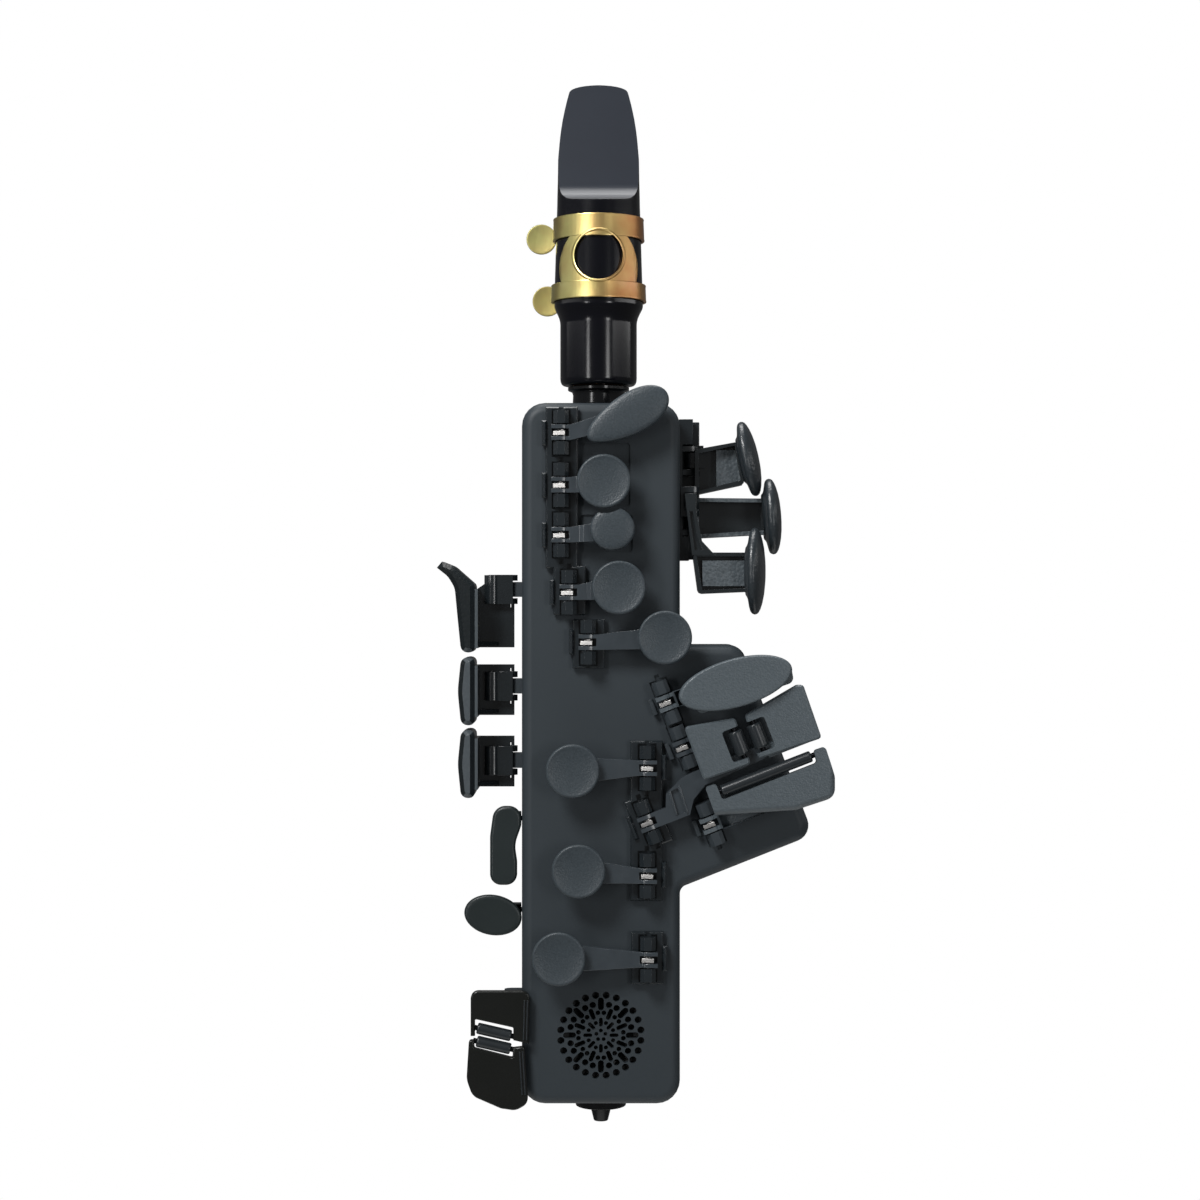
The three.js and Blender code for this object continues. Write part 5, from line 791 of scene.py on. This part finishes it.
# The tone varies in clouds of about 9 mm, and goes from lemon on the left to copper on the right: that shift across is
# a painted reflection of warm light.
brass_cloud = add_node(brass_tree, "ShaderNodeTexNoise", Vector=brass_place, Scale=1 / (9 * mm), Detail=3.0)
brass_side = add_node(brass_tree, "ShaderNodeSeparateXYZ", Vector=brass_place)
# Painted reflection: the colour is pushed towards copper the further right a point lies across the barrel.
brass_painted_copper_reflection = add_node(brass_tree, "ShaderNodeMapRange", Value=brass_side.outputs["X"], From_Min=-9 * mm,
                      From_Max=12 * mm, To_Min=-0.25, To_Max=0.45)
brass_cloud_and_painted_reflection = add_node(brass_tree, "ShaderNodeMath", {"operation": "ADD", "use_clamp": True})
brass_tree.links.new(brass_cloud.outputs["Fac"], brass_cloud_and_painted_reflection.inputs[0])
brass_tree.links.new(brass_painted_copper_reflection.outputs[0], brass_cloud_and_painted_reflection.inputs[1])
# Rubbing marks are 0.8 mm apart and run up the sheet.
brass_run = add_node(brass_tree, "ShaderNodeMapping", Vector=brass_place, Scale=(1, 1, 0.12))
brass_marks = add_node(brass_tree, "ShaderNodeTexNoise", Vector=brass_run.outputs[0], Scale=1 / (0.8 * mm), Detail=4.0)
tone_and_bump(brass_tree, brass_shader, brass_cloud_and_painted_reflection.outputs[0], ("F8F2A0", "D89A62"), brass_marks.outputs["Fac"], 1.0,
              0.035)
slit_half, bands = 3.5, ((139.58, 146.28), (120.98, 126.08))


def barrel_at(z):
    """Outside radius of the mouthpiece's barrel at a height."""
    return collar_radius - barrel_taper * min(max((z - collar_top) / (beak_foot - collar_top), 0), 1)


def band(low, high):
    """A strip of sheet rolled round the barrel, open at the back for the lugs, with its two rims turned out."""
    inner = [(barrel_at(z) + 0.3, z) for z in (low, high)]
    outer = [(barrel_at(high) + 1.02, high), (barrel_at(high) + 1.1, high - 0.25), (barrel_at(high) + 1.0, high - 0.55),
             (barrel_at(low) + 1.0, low + 0.55), (barrel_at(low) + 1.1, low + 0.25), (barrel_at(low) + 1.02, low)]
    opening = math.asin(slit_half / barrel_at(low))
    shape = bmesh.new()
    points = [shape.verts.new((r * mm, 0, z * mm)) for r, z in inner + outer]
    strip = shape.faces.new(points)
    bmesh.ops.rotate(shape, verts=points, matrix=Matrix.Rotation(math.pi / 2 + opening, 3, "Z"), cent=(0, 0, 0))
    bmesh.ops.spin(shape, geom=points + strip.edges[:] + [strip], cent=(0, 0, 0), axis=(0, 0, 1),
                   angle=2 * math.pi - 2 * opening, steps=120)
    bmesh.ops.remove_doubles(shape, verts=shape.verts, dist=1e-8)
    bmesh.ops.recalc_face_normals(shape, faces=shape.faces)
    return shape


panel_middle, hole_middle = 130.13, 133.63
panel = turned([(barrel_at(z) + out, z) for z, out in
                ((121.2, 0.3), (146, 0.3), (146, 0.95), (133.6, 0.95), (121.2, 0.95))], 128, ring=True)
oval = turned([(0, 0), (1, 0), (1, 24), (0, 24)], 96, Matrix.Diagonal((11.9, 13.8, 1, 1)))
bmesh.ops.transform(oval, matrix=shift(0, 0, panel_middle) @ Matrix.Rotation(math.pi / 2, 4, "X"),
                    verts=oval.verts)
panel = carve(panel, oval, "INTERSECT")
hole_place = shift(0, -20, hole_middle) @ Matrix.Rotation(-math.pi / 2, 4, "X")
panel = carve(panel, turned([(0, -5), (7.4, -5), (7.4, 20), (0, 20)], 96, hole_place))
# The hole has a raised lip, which follows the round of the barrel.
lip = turned([(7.75 + 0.5 * math.cos(i * math.pi / 4), 0.5 * math.sin(i * math.pi / 4)) for i in range(8)], 96,
             shift(0, 0, hole_middle) @ Matrix.Rotation(math.pi / 2, 4, "X"), ring=True)
for point in lip.verts:
    point.co.y -= math.sqrt(((barrel_at(point.co.z / mm) + 0.85) * mm) ** 2 - point.co.x ** 2)
lugs = []
for low, high in bands:
    for side in (-1, 1):
        near, far = sorted((side * slit_half, side * (slit_half + 1.2)))
        lugs.append(block((near, 10.6, low), (far, 19.4, high), 0.25))
ligature = together(*[band(low, high) for low, high in bands], panel, lip, *lugs)
bmesh.ops.transform(ligature, matrix=neck_place, verts=ligature.verts)
put(ligature, "ligature_sheet", brass, "mouthpiece", ["ligature"], edge=0.08, hard=45)

# Ligature screws
# Turned brass thumbscrews with round flat heads. The heads have a thin raised rim and a dimpled face for grip.
screw_back = 17.1
for name, height, reach in (("upper", 142.93, 17.9), ("lower", 123.53, 16)):
    rod = turned([(0, -reach + 4), (1.1, -reach + 4), (1.1, 6.4), (0.9, 6.9), (0, 6.9)], 32,
                 Matrix.Rotation(math.pi / 2, 4, "Y"))
    coin = turned([(0, -0.4), (3.6, -0.4), (4.2, -0.55), (4.6, -0.5), (4.7, -0.2), (4.7, 0.2), (4.6, 0.5),
                   (4.2, 0.55), (3.6, 0.4), (0, 0.4)], 64, shift(-reach, 0, 0)
                  @ Matrix.Rotation(math.pi / 2, 4, "X"))
    thumbscrew = together(rod, coin)
    bmesh.ops.transform(thumbscrew, verts=thumbscrew.verts,
                        matrix=neck_place @ shift(0, screw_back, height))
    put(thumbscrew, name + "_thumbscrew", brass, name + "_ligature_screw",
        ["ligature_screw_" + name], hard=40)

# Drain spout
# A black plastic plug under the housing lets the player's breath and moisture out.
spout = [(1.2, -129.12), (2.0, -129.12), (2.2, -128.9), (3.3, -124.52), (7.3, -124.52), (7.6, -124.38),
         (7.7, -124.12), (7.7, -121.92), (1.2, -121.92)]
put(turned(spout, 64, shift(0, middle_depth, 0), ring=True), "drain_spout_plug", gloss_abs, "housing",
    ["drain_spout"], hard=40)

# Strap eye
# A cast brass ring on a plate, screwed to the back where the neck strap hooks in.
eye_ring = turned([(4.0, -0.9), (4.5, -1.45), (5.3, -1.6), (6.2, -1.45), (6.9, -0.8), (7, 0), (6.9, 0.8), (6.2, 1.45),
                   (5.3, 1.6), (4.5, 1.45), (4.0, 0.9)], 72, Matrix.Rotation(math.pi / 2, 4, "Y"), ring=True)
bmesh.ops.bisect_plane(eye_ring, geom=eye_ring.verts[:] + eye_ring.edges[:] + eye_ring.faces[:], dist=1e-7,
                       plane_co=(0, -6.8 * mm, 0), plane_no=(0, -1, 0), clear_outer=True)
eye_plate = prism([(-5, -10, 2.5), (5, -10, 2.5), (5, 10, 2.5), (-5, 10, 2.5)], -7.2, -5.4, back_fillet=0.5)
put(together(eye_ring, eye_plate), "strap_eye_casting", brass, "housing", ["strap_eye"], hard=40)

# Thumb rest and thumb hook
# A dished rubber-feel rest for the left thumb, and a moulded hook that carries the weight on the right one.
rest_low, rest_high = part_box("thumb_rest")
rest_place = Matrix.Translation((0, rest_low.y, (rest_low.z + rest_high.z) / 2)) @ Matrix.Rotation(-math.pi / 2, 4, "X")
rest = [(0, 0), (8.9, 0), (9, 0.3), (9, 2.7), (8.85, 3.5), (8.4, 4.2), (7.75, 4.5), (7, 4.42), (5.8, 4.1),
        (4.2, 3.8), (2, 3.62), (0, 3.6)]
put(turned(rest, 80, rest_place), "thumb_rest_button", grained_abs, "housing", ["thumb_rest"],
    hard=60)
put(merged_copy("thumb_hook"), "thumb_hook_moulding", nylon, "housing", ["thumb_hook"], edge=0.5,
    hard=40)

# Inside
# The board is green fibreglass, the battery a foil pouch in blue wrap, and the speaker and breath sensor black.
# They show only through the grille.
insides = {"circuit_board": moulded("solder_mask_on_fibreglass", "174A30", "1F5A3C", 0.4, 1.2, 0.02, 3),
           "battery": moulded("battery_wrap_film", "34527C", "3F5F8C", 0.35, 2.0, 0.03, 6),
           "speaker": moulded("speaker_frame_and_paper", "101113", "1A1B1D", 0.6, 0.5, 0.02),
           "breath_sensor": moulded("sensor_case_epoxy", "151617", "1D1E20", 0.5, 0.4, 0.01)}
for node, finish in insides.items():
    mesh = frame["nodes"][node].data
    mesh.materials.clear()
    mesh.materials.append(finish)
